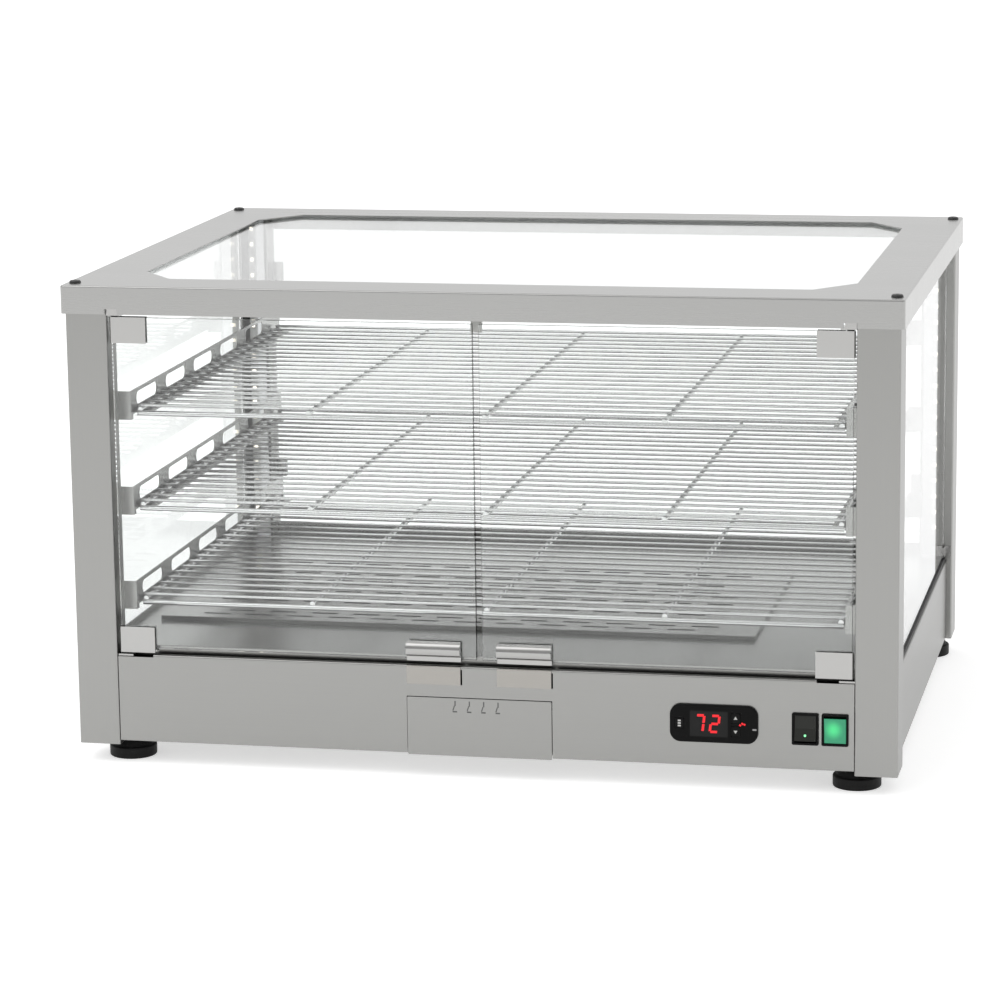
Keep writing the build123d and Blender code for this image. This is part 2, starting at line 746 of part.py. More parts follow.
def door_clamp(low, high, pin_at_top):
    """A folded clip round the pane's corner, with the block that turns on the hinge pin."""
    outer = -door_outer_x - CLAMP_GAP - CLAMP_SHEET
    inner = outer + CLAMP_WIDTH
    y0 = door_front_y - CLAMP_GAP
    y1 = door_back_y + CLAMP_GAP
    front = y0 - CLAMP_SHEET
    back = y1 + CLAMP_SHEET
    line = [(inner, front), (outer, front), (outer, back), (inner, back)]
    clamp = folded_up(line, CLAMP_SHEET, low, high)
    half = PIN_BLOCK / 2
    z0 = high - PIN_BLOCK + CLAMP_GAP if pin_at_top else low
    z1 = high if pin_at_top else low + PIN_BLOCK - CLAMP_GAP
    block_y = (y0 - CLAMP_SHEET / 2, y1 + CLAMP_SHEET / 2)
    clamp += block(outer + CLAMP_SHEET / 2, -hinge_x + half, *block_y, z0, z1)
    mouth = high - PIN_ENGAGEMENT - PIN_PLAY if pin_at_top else low - PIN_PLAY
    clamp -= post_along("z", -hinge_x, hinge_y, mouth, PIN_RADIUS + PIN_PLAY, PIN_ENGAGEMENT + 2 * PIN_PLAY)
    return clamp


def door_clamps():
    """The lower and upper clamps of the left door."""
    return group([door_clamp(*bottom_clamp_z(), False), door_clamp(*top_clamp_z(), True)])


def door_handle():
    """A clip round the door's lower edge near its inner corner, with a bowed grip."""
    x0 = -HANDLE_INNER - HANDLE_WIDTH
    x1 = -HANDLE_INNER
    sheet = HANDLE_SHEET
    front = door_front_y - CLAMP_GAP
    back = door_back_y + CLAMP_GAP
    top = base_z + HANDLE_TOP
    under = door_bottom_z - FIT_GAP
    low = under - sheet
    handle = block(x0, x1, front - sheet, back + sheet, low, under)
    handle += block(x0, x1, back, back + sheet, low, top)
    handle += block(x0, x1, front - sheet, front, low, top)
    ends = [(front - sheet / 2, low + HANDLE_LIP), (front - sheet / 2, top)]
    crown = (front - sheet - HANDLE_BOW, (low + HANDLE_LIP + top) / 2)
    outline = make_face([ThreePointArc(ends[0], crown, ends[1]), Line(ends[1], ends[0])])
    bow = Plane((x0, 0, 0), x_dir=(0, 1, 0), z_dir=(1, 0, 0)) * outline
    return one(handle + extrude(bow, x1 - x0, dir=(1, 0, 0)))


def catch_plate():
    """The thin plate on the control panel, under the left handle."""
    x0 = -HANDLE_INNER - HANDLE_WIDTH
    x1 = -HANDLE_INNER
    plate = block(x0, x1, -panel_y - SHEET, -panel_y, base_z + CATCH_BOTTOM, panel_top_z)
    return fillet(plate.edges().filter_by(Axis.X).sort_by(Axis.Y)[:2].sort_by(Axis.Z)[-1], 0.8)


def catch_plates():
    """Both catch plates."""
    plate = catch_plate()
    return group([plate, right_of(plate)])


def hinge_bracket(top):
    """A lug on the left post's return that holds one hinge pin."""
    outer = -inner_x + 0.2
    inner = outer + LUG_WIDTH
    front = -post_y if top else -panel_y + LUG_SETBACK
    back = -lip_y - LUG_LIP_GAP
    z0 = top_clamp_z()[1] + BUSH_HEIGHT if top else bottom_lug_z()
    z1 = z0 + LUG_SHEET
    leg = (z1 - LUG_SHEET, z1 + LUG_LEG) if top else (z0 - LUG_LEG, z0 + LUG_SHEET)
    bracket = block(outer, inner, front, back, z0, z1)
    bracket += block(outer, outer + LUG_SHEET, front + LUG_SHEET, back, *leg)
    if top:
        bracket += block(outer, outer + LUG_TAB_WIDTH, front, front + LUG_SHEET, z0, z0 + LUG_TAB)
    bracket -= post_along("z", -hinge_x, hinge_y, z0 - 1, PIN_RADIUS, LUG_SHEET + 2)
    return bracket


def hinge_brackets():
    """The four hinge brackets."""
    left = [hinge_bracket(False), hinge_bracket(True)]
    return group(left + [right_of(part) for part in left])


def hinge_pins():
    """Four pins, each riveted in its lug; the door's blocks turn on them."""
    reach = PIN_ENGAGEMENT - 0.5 + BUSH_HEIGHT + LUG_SHEET
    low = post_along("z", -hinge_x, hinge_y, bottom_lug_z(), PIN_RADIUS, reach)
    high = post_along("z", -hinge_x, hinge_y, lug_top_z() - reach, PIN_RADIUS, reach)
    return group([low, high, right_of(low), right_of(high)])


def hinge_bushes():
    """Black washers between each lug and its clamp."""
    gap = 0.3
    height = BUSH_HEIGHT - gap
    parts = []
    for z in (bottom_lug_z() + LUG_SHEET, top_clamp_z()[1] + gap):
        ring = post_along("z", -hinge_x, hinge_y, z, BUSH_RADIUS, height)
        ring -= post_along("z", -hinge_x, hinge_y, z - 1, PIN_RADIUS, height + 2)
        parts += [ring, right_of(ring)]
    return group(parts)


def door_stop():
    """The pale stop under the cap that both doors close against."""
    y0 = door_back_y + STOP_CLEARANCE
    half = STOP_WIDTH / 2
    return one(block(-half, half, y0, y0 + STOP_DEPTH, door_top_z - STOP_REACH, cap_under))


# Racks


def rail_top_z(level):
    """Upper edge of the rails that carry rack number level, counted from the top."""
    return top_rail_z - level * (top_rail_z - bottom_rail_z) / (len(RACK_NAMES) - 1)


def rack_rail(level):
    """A left rail: a slotted strip with a ledge, hooked behind the posts' returns."""
    top = rail_top_z(level)
    low = top - RAIL_HEIGHT
    hook_x = inner_x + SHEET
    hook_y = return_y - SHEET
    end = hook_y + RAIL_HOOK
    line = [(-hook_x - SHEET, -end), (-hook_x - SHEET, -hook_y), (-rail_x, -hook_y)]
    line += [(x, -y) for x, y in line[::-1]]
    rail = folded_up(line, SHEET, low - RAIL_BRACKET_DROP, top, SHEET * 0.9)
    reach = hook_y - SHEET - RAIL_NOTCH
    strip_x = (-rail_x - 1, -rail_x + SHEET + 1)
    rail -= block(*strip_x, -reach, reach, low - RAIL_BRACKET_DROP - 1, low)
    ledge = hook_y - SHEET - RAIL_FLANGE_SETBACK
    rail += block(-rail_x, -rail_x + RAIL_FLANGE, -ledge, ledge, low, low + SHEET)
    pitch = (2 * hook_y - RAIL_SLOT_FIRST - RAIL_SLOT_LAST) / (RAIL_SLOT_COUNT - 1)
    slot = SlotOverall(pitch - RAIL_SLOT_BRIDGE, RAIL_SLOT_WIDTH)
    slots = []
    for i in range(RAIL_SLOT_COUNT):
        centre = (-rail_x, -hook_y + RAIL_SLOT_FIRST + i * pitch, top - RAIL_SLOT_DROP)
        plane = Plane(centre, x_dir=(0, 1, 0), z_dir=(1, 0, 0))
        slots.append(extrude(plane * slot, 4 * SHEET, both=True))
    return one(rail - slots)


def wire_rack(level):
    """A welded rack: fine wires across, stouter rods front to back, and a dropped front rod."""
    rod_z = rail_top_z(level) - RAIL_HEIGHT + SHEET + RACK_GAP + RACK_ROD / 2
    wire_z = rod_z + (RACK_ROD + RACK_WIRE) / 2 - WELD_BITE
    front_z = wire_z - RACK_FRONT_DROP
    rod_x = rack_half - RACK_END_INSET
    parts = []
    first = rack_front + RACK_ROD + RACK_WIRE / 2
    last = rack_back - RACK_WIRE / 2
    count = round((last - first) / RACK_WIRE_PITCH) + 1
    for i in range(count):
        y = first + (last - first) * i / (count - 1)
        parts.append(post_along("x", -rack_half, y, wire_z, RACK_WIRE / 2, 2 * rack_half))
    front = rack_front + RACK_ROD / 2
    for share in (-1, -RACK_ROD_SHARE, 0, RACK_ROD_SHARE, 1):
        parts.append(post_along("y", share * rod_x, front, rod_z, RACK_ROD / 2, rack_back - front))
    parts.append(post_along("x", -rack_half, front, front_z, RACK_ROD / 2, 2 * rack_half))
    return one(parts[0] + parts[1:])


# Water drawer


def drawer_front():
    """The drawer's face, set in the panel's notch and a little proud of it."""
    half = DRAWER_WIDTH / 2
    y0 = -panel_y - DRAWER_PROUD
    height = (base_z + DRAWER_BOTTOM, base_z + DRAWER_TOP)
    face = block(DRAWER_CENTRE - half, DRAWER_CENTRE + half, y0, y0 + SHEET, *height)
    return one(fillet(face.edges().filter_by(Axis.Y), 1.0))


def tray_half_width():
    """Half the outer width of the water tray's walls."""
    return DRAWER_WIDTH / 2 - DRAWER_LAP - TRAY_SIDE_GAP


def tray_z():
    """Bottom and top of the water tray."""
    return base_z + TRAY_FLOOR, base_z + TRAY_TOP


def water_tray():
    """The open tray behind the drawer's face; its rims ride on the runners."""
    half = tray_half_width()
    y0 = -panel_y - DRAWER_PROUD + SHEET
    y1 = y0 + TRAY_LENGTH
    low, high = tray_z()
    outer = block(DRAWER_CENTRE - half, DRAWER_CENTRE + half, y0, y1, low, high)
    outer = fillet(outer.edges().filter_by(Axis.Z).sort_by(Axis.Y)[-2:], 10)
    wall = TRAY_WALL
    inner_x0 = DRAWER_CENTRE - half + wall
    inner_x1 = DRAWER_CENTRE + half - wall
    inner = block(inner_x0, inner_x1, y0 + wall, y1 - wall, low + wall, high + 1)
    tray = outer - fillet(inner.edges().filter_by(Axis.Z).sort_by(Axis.Y)[-2:], 9)
    for side in (-1, 1):
        edge = DRAWER_CENTRE + side * (half - wall / 2)
        tip = DRAWER_CENTRE + side * (half + TRAY_RIM)
        tray += block(edge, tip, y0 + 12, y1 - 12, high - wall, high)
    return one(tray)


def drawer_runners():
    """Two angles on the bottom plate that carry the tray's rims."""
    half = tray_half_width()
    top = tray_z()[1] - TRAY_WALL - TRAY_GAP
    y0 = -panel_y + PANEL_FOOT_FLANGE + 4
    y1 = -panel_y + TRAY_LENGTH
    web = half + RUNNER_LEDGE
    runner = block(-half - 0.7, -web, y0, y1, top - SHEET, top)
    runner += block(-web, -web + SHEET, y0, y1, bottom_plate_z + SHEET, top)
    return group([Pos(DRAWER_CENTRE, 0, 0) * runner, Pos(DRAWER_CENTRE, 0, 0) * right_of(runner)])


# Controls


def controller_body():
    """The thermostat's case: a rounded bezel in front and a box behind the panel."""
    face_y = -panel_y
    z = base_z + CONTROLLER_HEIGHT_AT
    outline = RectangleRounded(CONTROLLER_WIDTH, CONTROLLER_HEIGHT, CONTROLLER_CORNER)
    bezel = extrude(outline, CONTROLLER_BEZEL)
    rim = bezel.faces().sort_by(Axis.Z)[-1].edges()
    bezel = fillet(rim, 1.2)
    case = Pos(controller_x, face_y, z) * Rot(90, 0, 0) * bezel
    half_x = CONTROLLER_BODY_WIDTH / 2
    half_z = CONTROLLER_BODY_HEIGHT / 2
    box_x = (controller_x - half_x, controller_x + half_x)
    case += block(*box_x, face_y, face_y + CONTROLLER_BODY_DEPTH, z - half_z, z + half_z)
    front = face_y - CONTROLLER_BEZEL
    case -= block(*window_x_span(), front - 1, front + WINDOW_DEPTH, *window_z_span())
    depth = KEY_DEPTH + KEY_TRAVEL_ROOM
    for x, z in key_places():
        half_x = KEY_WIDTH / 2 + KEY_GAP
        half_z = KEY_HEIGHT / 2 + KEY_GAP
        case -= block(x - half_x, x + half_x, front - 1, front + depth, z - half_z, z + half_z)
    return one(case)


def window_x_span():
    """Left and right edges of the smoked window."""
    return window_x - WINDOW_WIDTH / 2, window_x + WINDOW_WIDTH / 2


def window_z_span():
    """Bottom and top of the smoked window."""
    z = base_z + CONTROLLER_HEIGHT_AT
    return z - WINDOW_HEIGHT / 2, z + WINDOW_HEIGHT / 2


def controller_window():
    """The smoked window in front of the digits."""
    front = -panel_y - CONTROLLER_BEZEL
    return one(block(*window_x_span(), front, front + WINDOW_DEPTH, *window_z_span()))


def key_places():
    """Centres of the set, up and down keys on the controller's face."""
    z = base_z + CONTROLLER_HEIGHT_AT
    steps = controller_x + STEP_KEYS_AT
    return [
        (controller_x + SET_KEY_AT, z),
        (steps, z + KEY_SPACING / 2),
        (steps, z - KEY_SPACING / 2),
    ]


def controller_key(place):
    """A soft key that sinks into the bezel."""
    x, z = place
    front = -panel_y - CONTROLLER_BEZEL - KEY_PROUD
    half = KEY_WIDTH / 2
    tall = KEY_HEIGHT / 2
    key = block(x - half, x + half, front, front + KEY_DEPTH + KEY_PROUD, z - tall, z + tall)
    return one(fillet(key.edges().filter_by(Axis.Y), 1.2))


def switch_housing(x):
    """A rocker switch's frame and its case behind the panel."""
    z = base_z + SWITCH_HEIGHT_AT
    half_x = SWITCH_WIDTH / 2
    half_z = SWITCH_HEIGHT / 2
    housing = block(x - half_x, x + half_x, -panel_y - SWITCH_BEZEL, -panel_y, z - half_z, z + half_z)
    housing = fillet(housing.edges().filter_by(Axis.Y), 1.5)
    body_x = switch_open_x + SWITCH_BODY_WALL
    body_z = switch_open_z + SWITCH_BODY_WALL
    back = -panel_y + SWITCH_BODY_DEPTH
    housing += block(x - body_x, x + body_x, -panel_y, back, z - body_z, z + body_z)
    front_y = -panel_y - SWITCH_BEZEL - 1
    floor_y = -panel_y + ROCKER_PIVOT_DEPTH + ROCKER_BACK + 2.5
    well_z = (z - switch_open_z, z + switch_open_z)
    return housing - block(x - switch_open_x, x + switch_open_x, front_y, floor_y, *well_z)


def switch_housings():
    """Both switch housings."""
    return group([switch_housing(x) for x in switch_places])


def rocker(x, tilt):
    """A rocker with a shallow V face, tilted on its pivot."""
    half = switch_open_z - ROCKER_END_GAP
    width = 2 * (switch_open_x - ROCKER_SIDE_GAP)
    end = -ROCKER_PIVOT_DEPTH - ROCKER_END_PROUD
    waist = -ROCKER_PIVOT_DEPTH - ROCKER_WAIST_PROUD
    shoulder = half - 1.5
    outline = [(end, -half), (waist, 0), (end, half)]
    outline += [(-1.5, shoulder), (ROCKER_BACK, 0), (-1.5, -shoulder)]
    plane = Plane((-width / 2, 0, 0), x_dir=(0, 1, 0), z_dir=(1, 0, 0))
    body = extrude(plane * make_face(Polyline(outline, close=True)), width, dir=(1, 0, 0))
    pivot = Pos(x, -panel_y + ROCKER_PIVOT_DEPTH, base_z + SWITCH_HEIGHT_AT)
    return one(pivot * Rot(tilt, 0, 0) * body)


# Feet and screws


def foot_places():
    """Centres of the four feet, front left first."""
    front = post_x - FOOT_FRONT_INSET
    rear = post_x - FOOT_REAR_INSET
    y = post_y - FOOT_INSET_Y
    return [(-front, -y), (front, -y), (-rear, y), (rear, y)]


def feet():
    """Black discs with a small boss that meets the bottom plate."""
    foot = Cylinder(FOOT_DIAMETER / 2, FOOT_RIM, align=(Align.CENTER, Align.CENTER, Align.MIN))
    foot = fillet(foot.edges(), 1.5)
    cone = Cone(FOOT_TOP_DIAMETER / 2, FOOT_TOP_DIAMETER / 2 - 4, base_z - FOOT_RIM + 1.5)
    foot += Pos(0, 0, (FOOT_RIM - 1.5 + base_z) / 2) * cone
    foot += post_along("z", 0, 0, base_z - 1, FOOT_BOSS_RADIUS, bottom_plate_z - base_z + 1)
    return group([Pos(x, y, 0) * foot for x, y in foot_places()])


def frame_screws():
    """Dark button heads on the cap, and the feet's screws and nuts."""
    parts = []
    tip = cap_under - CAP_SCREW_LENGTH
    for x, y in cap_screw_places():
        head = Pos(x, y, cap_top + CAP_SCREW_HEAD / 2) * Cylinder(CAP_SCREW_HEAD_RADIUS, CAP_SCREW_HEAD)
        head = fillet(head.edges().sort_by(Axis.Z)[-1], CAP_SCREW_HEAD * 0.8)
        head -= Pos(x, y, cap_top + CAP_SCREW_HEAD - 1) * extrude(RegularPolygon(1.7, 6), 2)
        parts.append(head + post_along("z", x, y, tip, CAP_SCREW_RADIUS, CAP_SCREW_LENGTH + SHEET + 0.5))
    for x, y in foot_places():
        top = bottom_plate_z + SHEET
        nut = Pos(x, y, top) * extrude(RegularPolygon(FOOT_NUT_RADIUS, 6), FOOT_NUT_HEIGHT)
        parts.append(nut + post_along("z", x, y, bottom_plate_z, FOOT_SCREW_RADIUS, FOOT_SCREW_LENGTH))
    return group(parts)


# Heater, lights and electrics


def heater_runs():
    """The Y positions of the heater's straight runs."""
    return [(i - (HEATER_RUNS - 1) / 2) * heater_pitch for i in range(HEATER_RUNS)]


def heating_element():
    """A sheathed rod bent back and forth under the cover."""
    z = base_z + HEATER_HEIGHT_AT
    runs = heater_runs()
    points = []
    for i, y in enumerate(runs):
        ends = [heater_right, heater_left] if i % 2 == 0 else [heater_left, heater_right]
        points += [(x, y, z) for x in ends]
    path = FilletPolyline(*points, radius=heater_pitch * 0.46)
    start = Plane(path @ 0, z_dir=path % 0)
    return one(sweep(start * Circle(HEATER_RADIUS), path=path))


def heater_brackets():
    """Upright plates on the bottom plate that carry the heater's runs."""
    runs = heater_runs()
    z = base_z + HEATER_HEIGHT_AT
    margin = HEATER_RADIUS + HEATER_BRACKET_MARGIN
    parts = []
    for x in (heater_left + HEATER_BRACKET_INSETS[0], heater_right - HEATER_BRACKET_INSETS[1]):
        span = (runs[0] - margin, runs[-1] + margin)
        plate = block(x, x + HEATER_BRACKET_SHEET, *span, bottom_plate_z + SHEET, z + margin / 2)
        foot = block(x, x + margin, *span, bottom_plate_z + SHEET, bottom_plate_z + 2 * SHEET)
        plate += foot
        for y in runs:
            plate -= post_along("x", x - 1, y, z, HEATER_RADIUS + HOLE_PLAY, HEATER_BRACKET_SHEET + 2)
        parts.append(plate)
    return group(parts)


def led_plan():
    """Plan extent of the right light profile and the Y of its front face."""
    x0 = inner_x + 2 * SHEET + LED_PROFILE_HOOK_GAP
    return x0, hem_x - LED_PROFILE_HEM_GAP, return_y - LED_PROFILE_SETBACK


def led_profiles():
    """Upright aluminium strips inside the rear posts that carry the lights."""
    x0, x1, y = led_plan()
    sheet = LED_PROFILE_SHEET
    strip = block(x0, x1, y, y + sheet, floor_z, cap_under)
    strip -= block(x1 - 3, x1 + 1, y - 1, y + sheet + 1, floor_z - 1, floor_z + FLOOR_UPSTAND + FIT_GAP)
    strip += block(x0, x1 - 3, y - LED_TAB, y + sheet, floor_z, floor_z + sheet)
    strip += block(top_glass_x + 1, x1, y - LED_TAB, y + sheet, cap_under - sheet, cap_under)
    return group([right_of(strip), strip])


def led_tapes():
    """The light tapes, each a thin strip with square lamps along it."""
    x1, y = led_plan()[1:]
    x = x1 - LED_TAPE_WIDTH / 2
    low = base_z + LED_BOTTOM
    half = LED_TAPE_WIDTH / 2
    count = int((cap_top - LED_TOP_MARGIN - low) // LED_PITCH)
    top = low + LED_PITCH * count
    tape = block(x - half, x + half, y - LED_TAPE, y, low, top)
    size = LED_SIZE / 2
    lamps = []
    for i in range(count):
        z = low + (i + 0.5) * LED_PITCH
        depth = (y - LED_TAPE - LED_HEIGHT, y - LED_TAPE / 2)
        lamps.append(block(x - size, x + size, *depth, z - size, z + size))
    tape = tape + lamps
    return group([right_of(tape), tape])


def power_inlet():
    """An appliance inlet at the back: a shroud with three flat pins."""
    z = base_z + INLET_HEIGHT_AT
    front = panel_y + INLET_FLANGE
    half_x = INLET_WIDTH / 2
    half_z = INLET_HEIGHT / 2
    inlet = block(inlet_x - half_x, inlet_x + half_x, panel_y, front, z - half_z, z + half_z)
    inlet = fillet(inlet.edges().filter_by(Axis.Y), 3)
    cavity_x = INLET_CAVITY_WIDTH / 2
    cavity_z = INLET_CAVITY_HEIGHT / 2
    wall = INLET_BODY_WALL
    back = front - INLET_CAVITY_DEPTH
    body_x = (inlet_x - cavity_x - wall, inlet_x + cavity_x + wall)
    inlet += block(*body_x, back - 6, panel_y, z - cavity_z - wall, z + cavity_z + wall)
    cavity = block(inlet_x - cavity_x, inlet_x + cavity_x, back, front + 1, z - cavity_z, z + cavity_z)
    inlet -= chamfer(cavity.edges().filter_by(Axis.Y).sort_by(Axis.Z)[-2:], 4)
    for dx, dz in ((-7, -1.5), (7, -1.5), (0, 2.5)):
        x = inlet_x + dx
        inlet += block(x - 1, x + 1, back - 1, back + INLET_PIN_LENGTH, z + dz - 2, z + dz + 2)
    return one(inlet)


def terminal_block():
    """A row of screw terminals on the bottom plate."""
    low = bottom_plate_z + SHEET
    left = inner_x - TERMINAL_INSET_X
    y = return_y - TERMINAL_INSET_Y
    strip = block(left, left + 12 * TERMINAL_COUNT, y, y + 18, low, low + 8)
    for i in range(TERMINAL_COUNT):
        x = left + 6 + i * 12
        tower = block(x - 4.5, x + 4.5, y + 2, y + 16, low + 4, low + 18)
        strip += tower - post_along("z", x, y + 9, low + 12, 2.2, 10)
    return one(strip)


def safety_thermostat():
    """A cut-out with its reset post, on a bracket behind the switches."""
    low = bottom_plate_z + SHEET
    x = inner_x - THERMOSTAT_INSET_X
    y = THERMOSTAT_INSET_Y - return_y
    base = block(x, x + 2, y - 20, y + 20, low, low + 40)
    base += block(x + 2, x + 30, y - 16, y + 16, low + 8, low + 36)
    return one(base + post_along("x", x + 30, y, low + 22, 4, 8))


def temperature_probe():
    """The air probe near the rear right corner, in a small holder on the floor."""
    x = inner_x - PROBE_INSET
    y = return_y
    probe = post_along("x", x, y, floor_z + 9, 3, 40)
    holder = block(x + 16, x + 26, y - 6, y + 6, floor_z, floor_z + 13)
    return one(holder + probe)


def led_driver():
    """The lights' supply, a closed plastic box on the bottom plate."""
    low = bottom_plate_z + SHEET
    x = inner_x - DRIVER_INSET
    box = block(x - 40, x + 40, DRIVER_AT - 25, DRIVER_AT + 25, low, low + 24)
    return one(fillet(box.edges().filter_by(Axis.Z), 3))


def build():
    """Every sub-part by name, where it sits."""
    post = corner_post()
    pane = left_glass()
    side = base_left_panel()
    glass = door_glass()
    clamps = door_clamps()
    handle = door_handle()
    keys = key_places()
    parts = {
        "base_bottom": base_bottom(),
        "base_front_panel": base_front_panel(),
        "base_left_panel": side,
        "base_right_panel": right_of(side),
        "base_rear_panel": base_rear_panel(),
        "floor_pan": floor_pan(),
        "slotted_cover": slotted_cover(),
        "post_front_left": post,
        "post_front_right": right_of(post),
        "post_rear_left": behind(post),
        "post_rear_right": right_of(behind(post)),
        "top_frame": top_frame(),
        "top_glass": top_glass(),
        "left_glass": pane,
        "right_glass": right_of(pane),
        "rear_glass": rear_glass(),
        "glass_seals": glass_seals(),
        "glass_clips": glass_clips(),
        "hinge_brackets": hinge_brackets(),
        "hinge_pins": hinge_pins(),
        "hinge_bushes": hinge_bushes(),
        "catch_plates": catch_plates(),
        "door_glass_left": glass,
        "door_glass_right": right_of(glass),
        "door_clamps_left": clamps,
        "door_clamps_right": group([right_of(part) for part in clamps.solids()]),
        "door_handle_left": handle,
        "door_handle_right": right_of(handle),
        "door_stop": door_stop(),
        "drawer_front": drawer_front(),
        "water_tray": water_tray(),
        "drawer_runners": drawer_runners(),
        "controller_body": controller_body(),
        "controller_window": controller_window(),
        "key_set": controller_key(keys[0]),
        "key_up": controller_key(keys[1]),
        "key_down": controller_key(keys[2]),
        "switch_housings": switch_housings(),
        "rocker_light": rocker(switch_places[0], -ROCKER_TILT),
        "rocker_heat": rocker(switch_places[1], ROCKER_TILT),
        "feet": feet(),
        "frame_screws": frame_screws(),
        "heating_element": heating_element(),
        "heater_brackets": heater_brackets(),
        "led_profiles": led_profiles(),
        "led_tapes": led_tapes(),
        "power_inlet": power_inlet(),
        "terminal_block": terminal_block(),
        "safety_thermostat": safety_thermostat(),
        "temperature_probe": temperature_probe(),
        "led_driver": led_driver(),
    }
    for level, name in enumerate(RACK_NAMES):
        rail = rack_rail(level)
        parts[f"rack_rail_left_{name}"] = rail
        parts[f"rack_rail_right_{name}"] = right_of(rail)
        parts[f"rack_{name}"] = wire_rack(level)
    return parts


os.makedirs("parts", exist_ok=True)
for part_name, part_shape in build().items():
    export_step(part_shape, f"parts/{part_name}.step")
    print(part_name, len(part_shape.solids()), round(part_shape.volume))
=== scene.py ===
"""Look of the heated pastry display cabinet: brushed sheet, glass walls, wire racks and controls.

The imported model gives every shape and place. This script gives each part its finish, adds
the marks on the controls and sets up a plain studio.
"""

import math

import bmesh
import bpy
from mathutils import Matrix, Vector


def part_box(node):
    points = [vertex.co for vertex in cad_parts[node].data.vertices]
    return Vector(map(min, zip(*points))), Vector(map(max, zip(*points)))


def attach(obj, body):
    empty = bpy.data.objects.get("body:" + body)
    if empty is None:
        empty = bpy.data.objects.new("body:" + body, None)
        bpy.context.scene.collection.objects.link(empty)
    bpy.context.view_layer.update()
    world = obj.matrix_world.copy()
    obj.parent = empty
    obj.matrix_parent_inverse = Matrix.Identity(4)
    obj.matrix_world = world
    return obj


bl_info = {
    "name": "Pastry display cabinet",
    "version": (1, 0, 0),
    "blender": (4, 5, 0),
    "location": "View3D > Sidebar > Cabinet",
    "description": "Finishes, control marks and studio for a heated pastry display cabinet",
    "category": "Object",
}

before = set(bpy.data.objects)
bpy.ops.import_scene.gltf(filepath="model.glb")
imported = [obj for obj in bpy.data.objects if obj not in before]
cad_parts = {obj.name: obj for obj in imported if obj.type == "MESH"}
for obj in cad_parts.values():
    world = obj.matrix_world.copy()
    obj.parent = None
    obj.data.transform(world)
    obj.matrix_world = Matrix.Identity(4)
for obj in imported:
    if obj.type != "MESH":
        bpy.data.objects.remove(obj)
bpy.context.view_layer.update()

MM = 0.001

# Nodes that share a finish
SHEET_ACROSS = ("base_front_panel", "base_rear_panel", "drawer_front")
SHEET_UP = ("post_front_left", "post_front_right", "post_rear_left", "post_rear_right")
SHEET_DEEP = ("base_left_panel", "base_right_panel", "base_bottom")
RAILS = tuple(
    f"rack_rail_{side}_{level}"
    for side in ("left", "right")
    for level in ("top", "middle", "bottom")
)
RACKS = ("rack_top", "rack_middle", "rack_bottom")
SHEET_INSIDE = ("floor_pan", "slotted_cover", "water_tray", "drawer_runners")
PANES = (
    "top_glass", "left_glass", "right_glass", "rear_glass", "door_glass_left", "door_glass_right",
)
FITTINGS = (
    "door_clamps_left", "door_clamps_right", "door_handle_left", "door_handle_right",
    "hinge_brackets", "glass_clips", "temperature_probe",
)

# Stretch of the brushed grain, fine across it and long along it
FINE = 1500.0
LONG = 9.0
GRAIN_X = (LONG, FINE, FINE)
GRAIN_Y = (FINE, LONG, FINE)
GRAIN_Z = (FINE, FINE, LONG)

# Small lamps on the light tapes
LAMP_PITCH = 16.7 * MM
LAMP_INSET = 4.0 * MM
LAMP_PROUD = 0.15 * MM
LAMP_FACE = (3.6 * MM, 0.5 * MM, 3.6 * MM)
LAMP_SOFTENING = 0.2 * MM

# Printed and lit marks: thickness, and how far the middle stands off the face
PRINT_SKIN = 0.14 * MM
PRINT_PROUD = 0.05 * MM
FIGURE_SKIN = 0.16 * MM
FIGURE_PROUD = 0.08 * MM
FIGURE_RISE = 0.4 * MM
DRIP_SKIN = 0.1 * MM
DRIP_COUNT = 4
DRIP_START = 44.4 * MM
DRIP_DROP = 2.5 * MM

# The large soft lamp
KEY_SIZE = 2.4
KEY_PLACE = (-1.4, -1.6, 2.8)
KEY_AIM = (0, 0, 0.2)

# Segments that are lit for each figure, named as on a seven-segment display
LIT_SEGMENTS = {
    "0": "abcdef", "1": "bc", "2": "abged", "3": "abgcd", "4": "fgbc",
    "5": "afgcd", "6": "afgedc", "7": "abc", "8": "abcdefg", "9": "abcfgd",
}


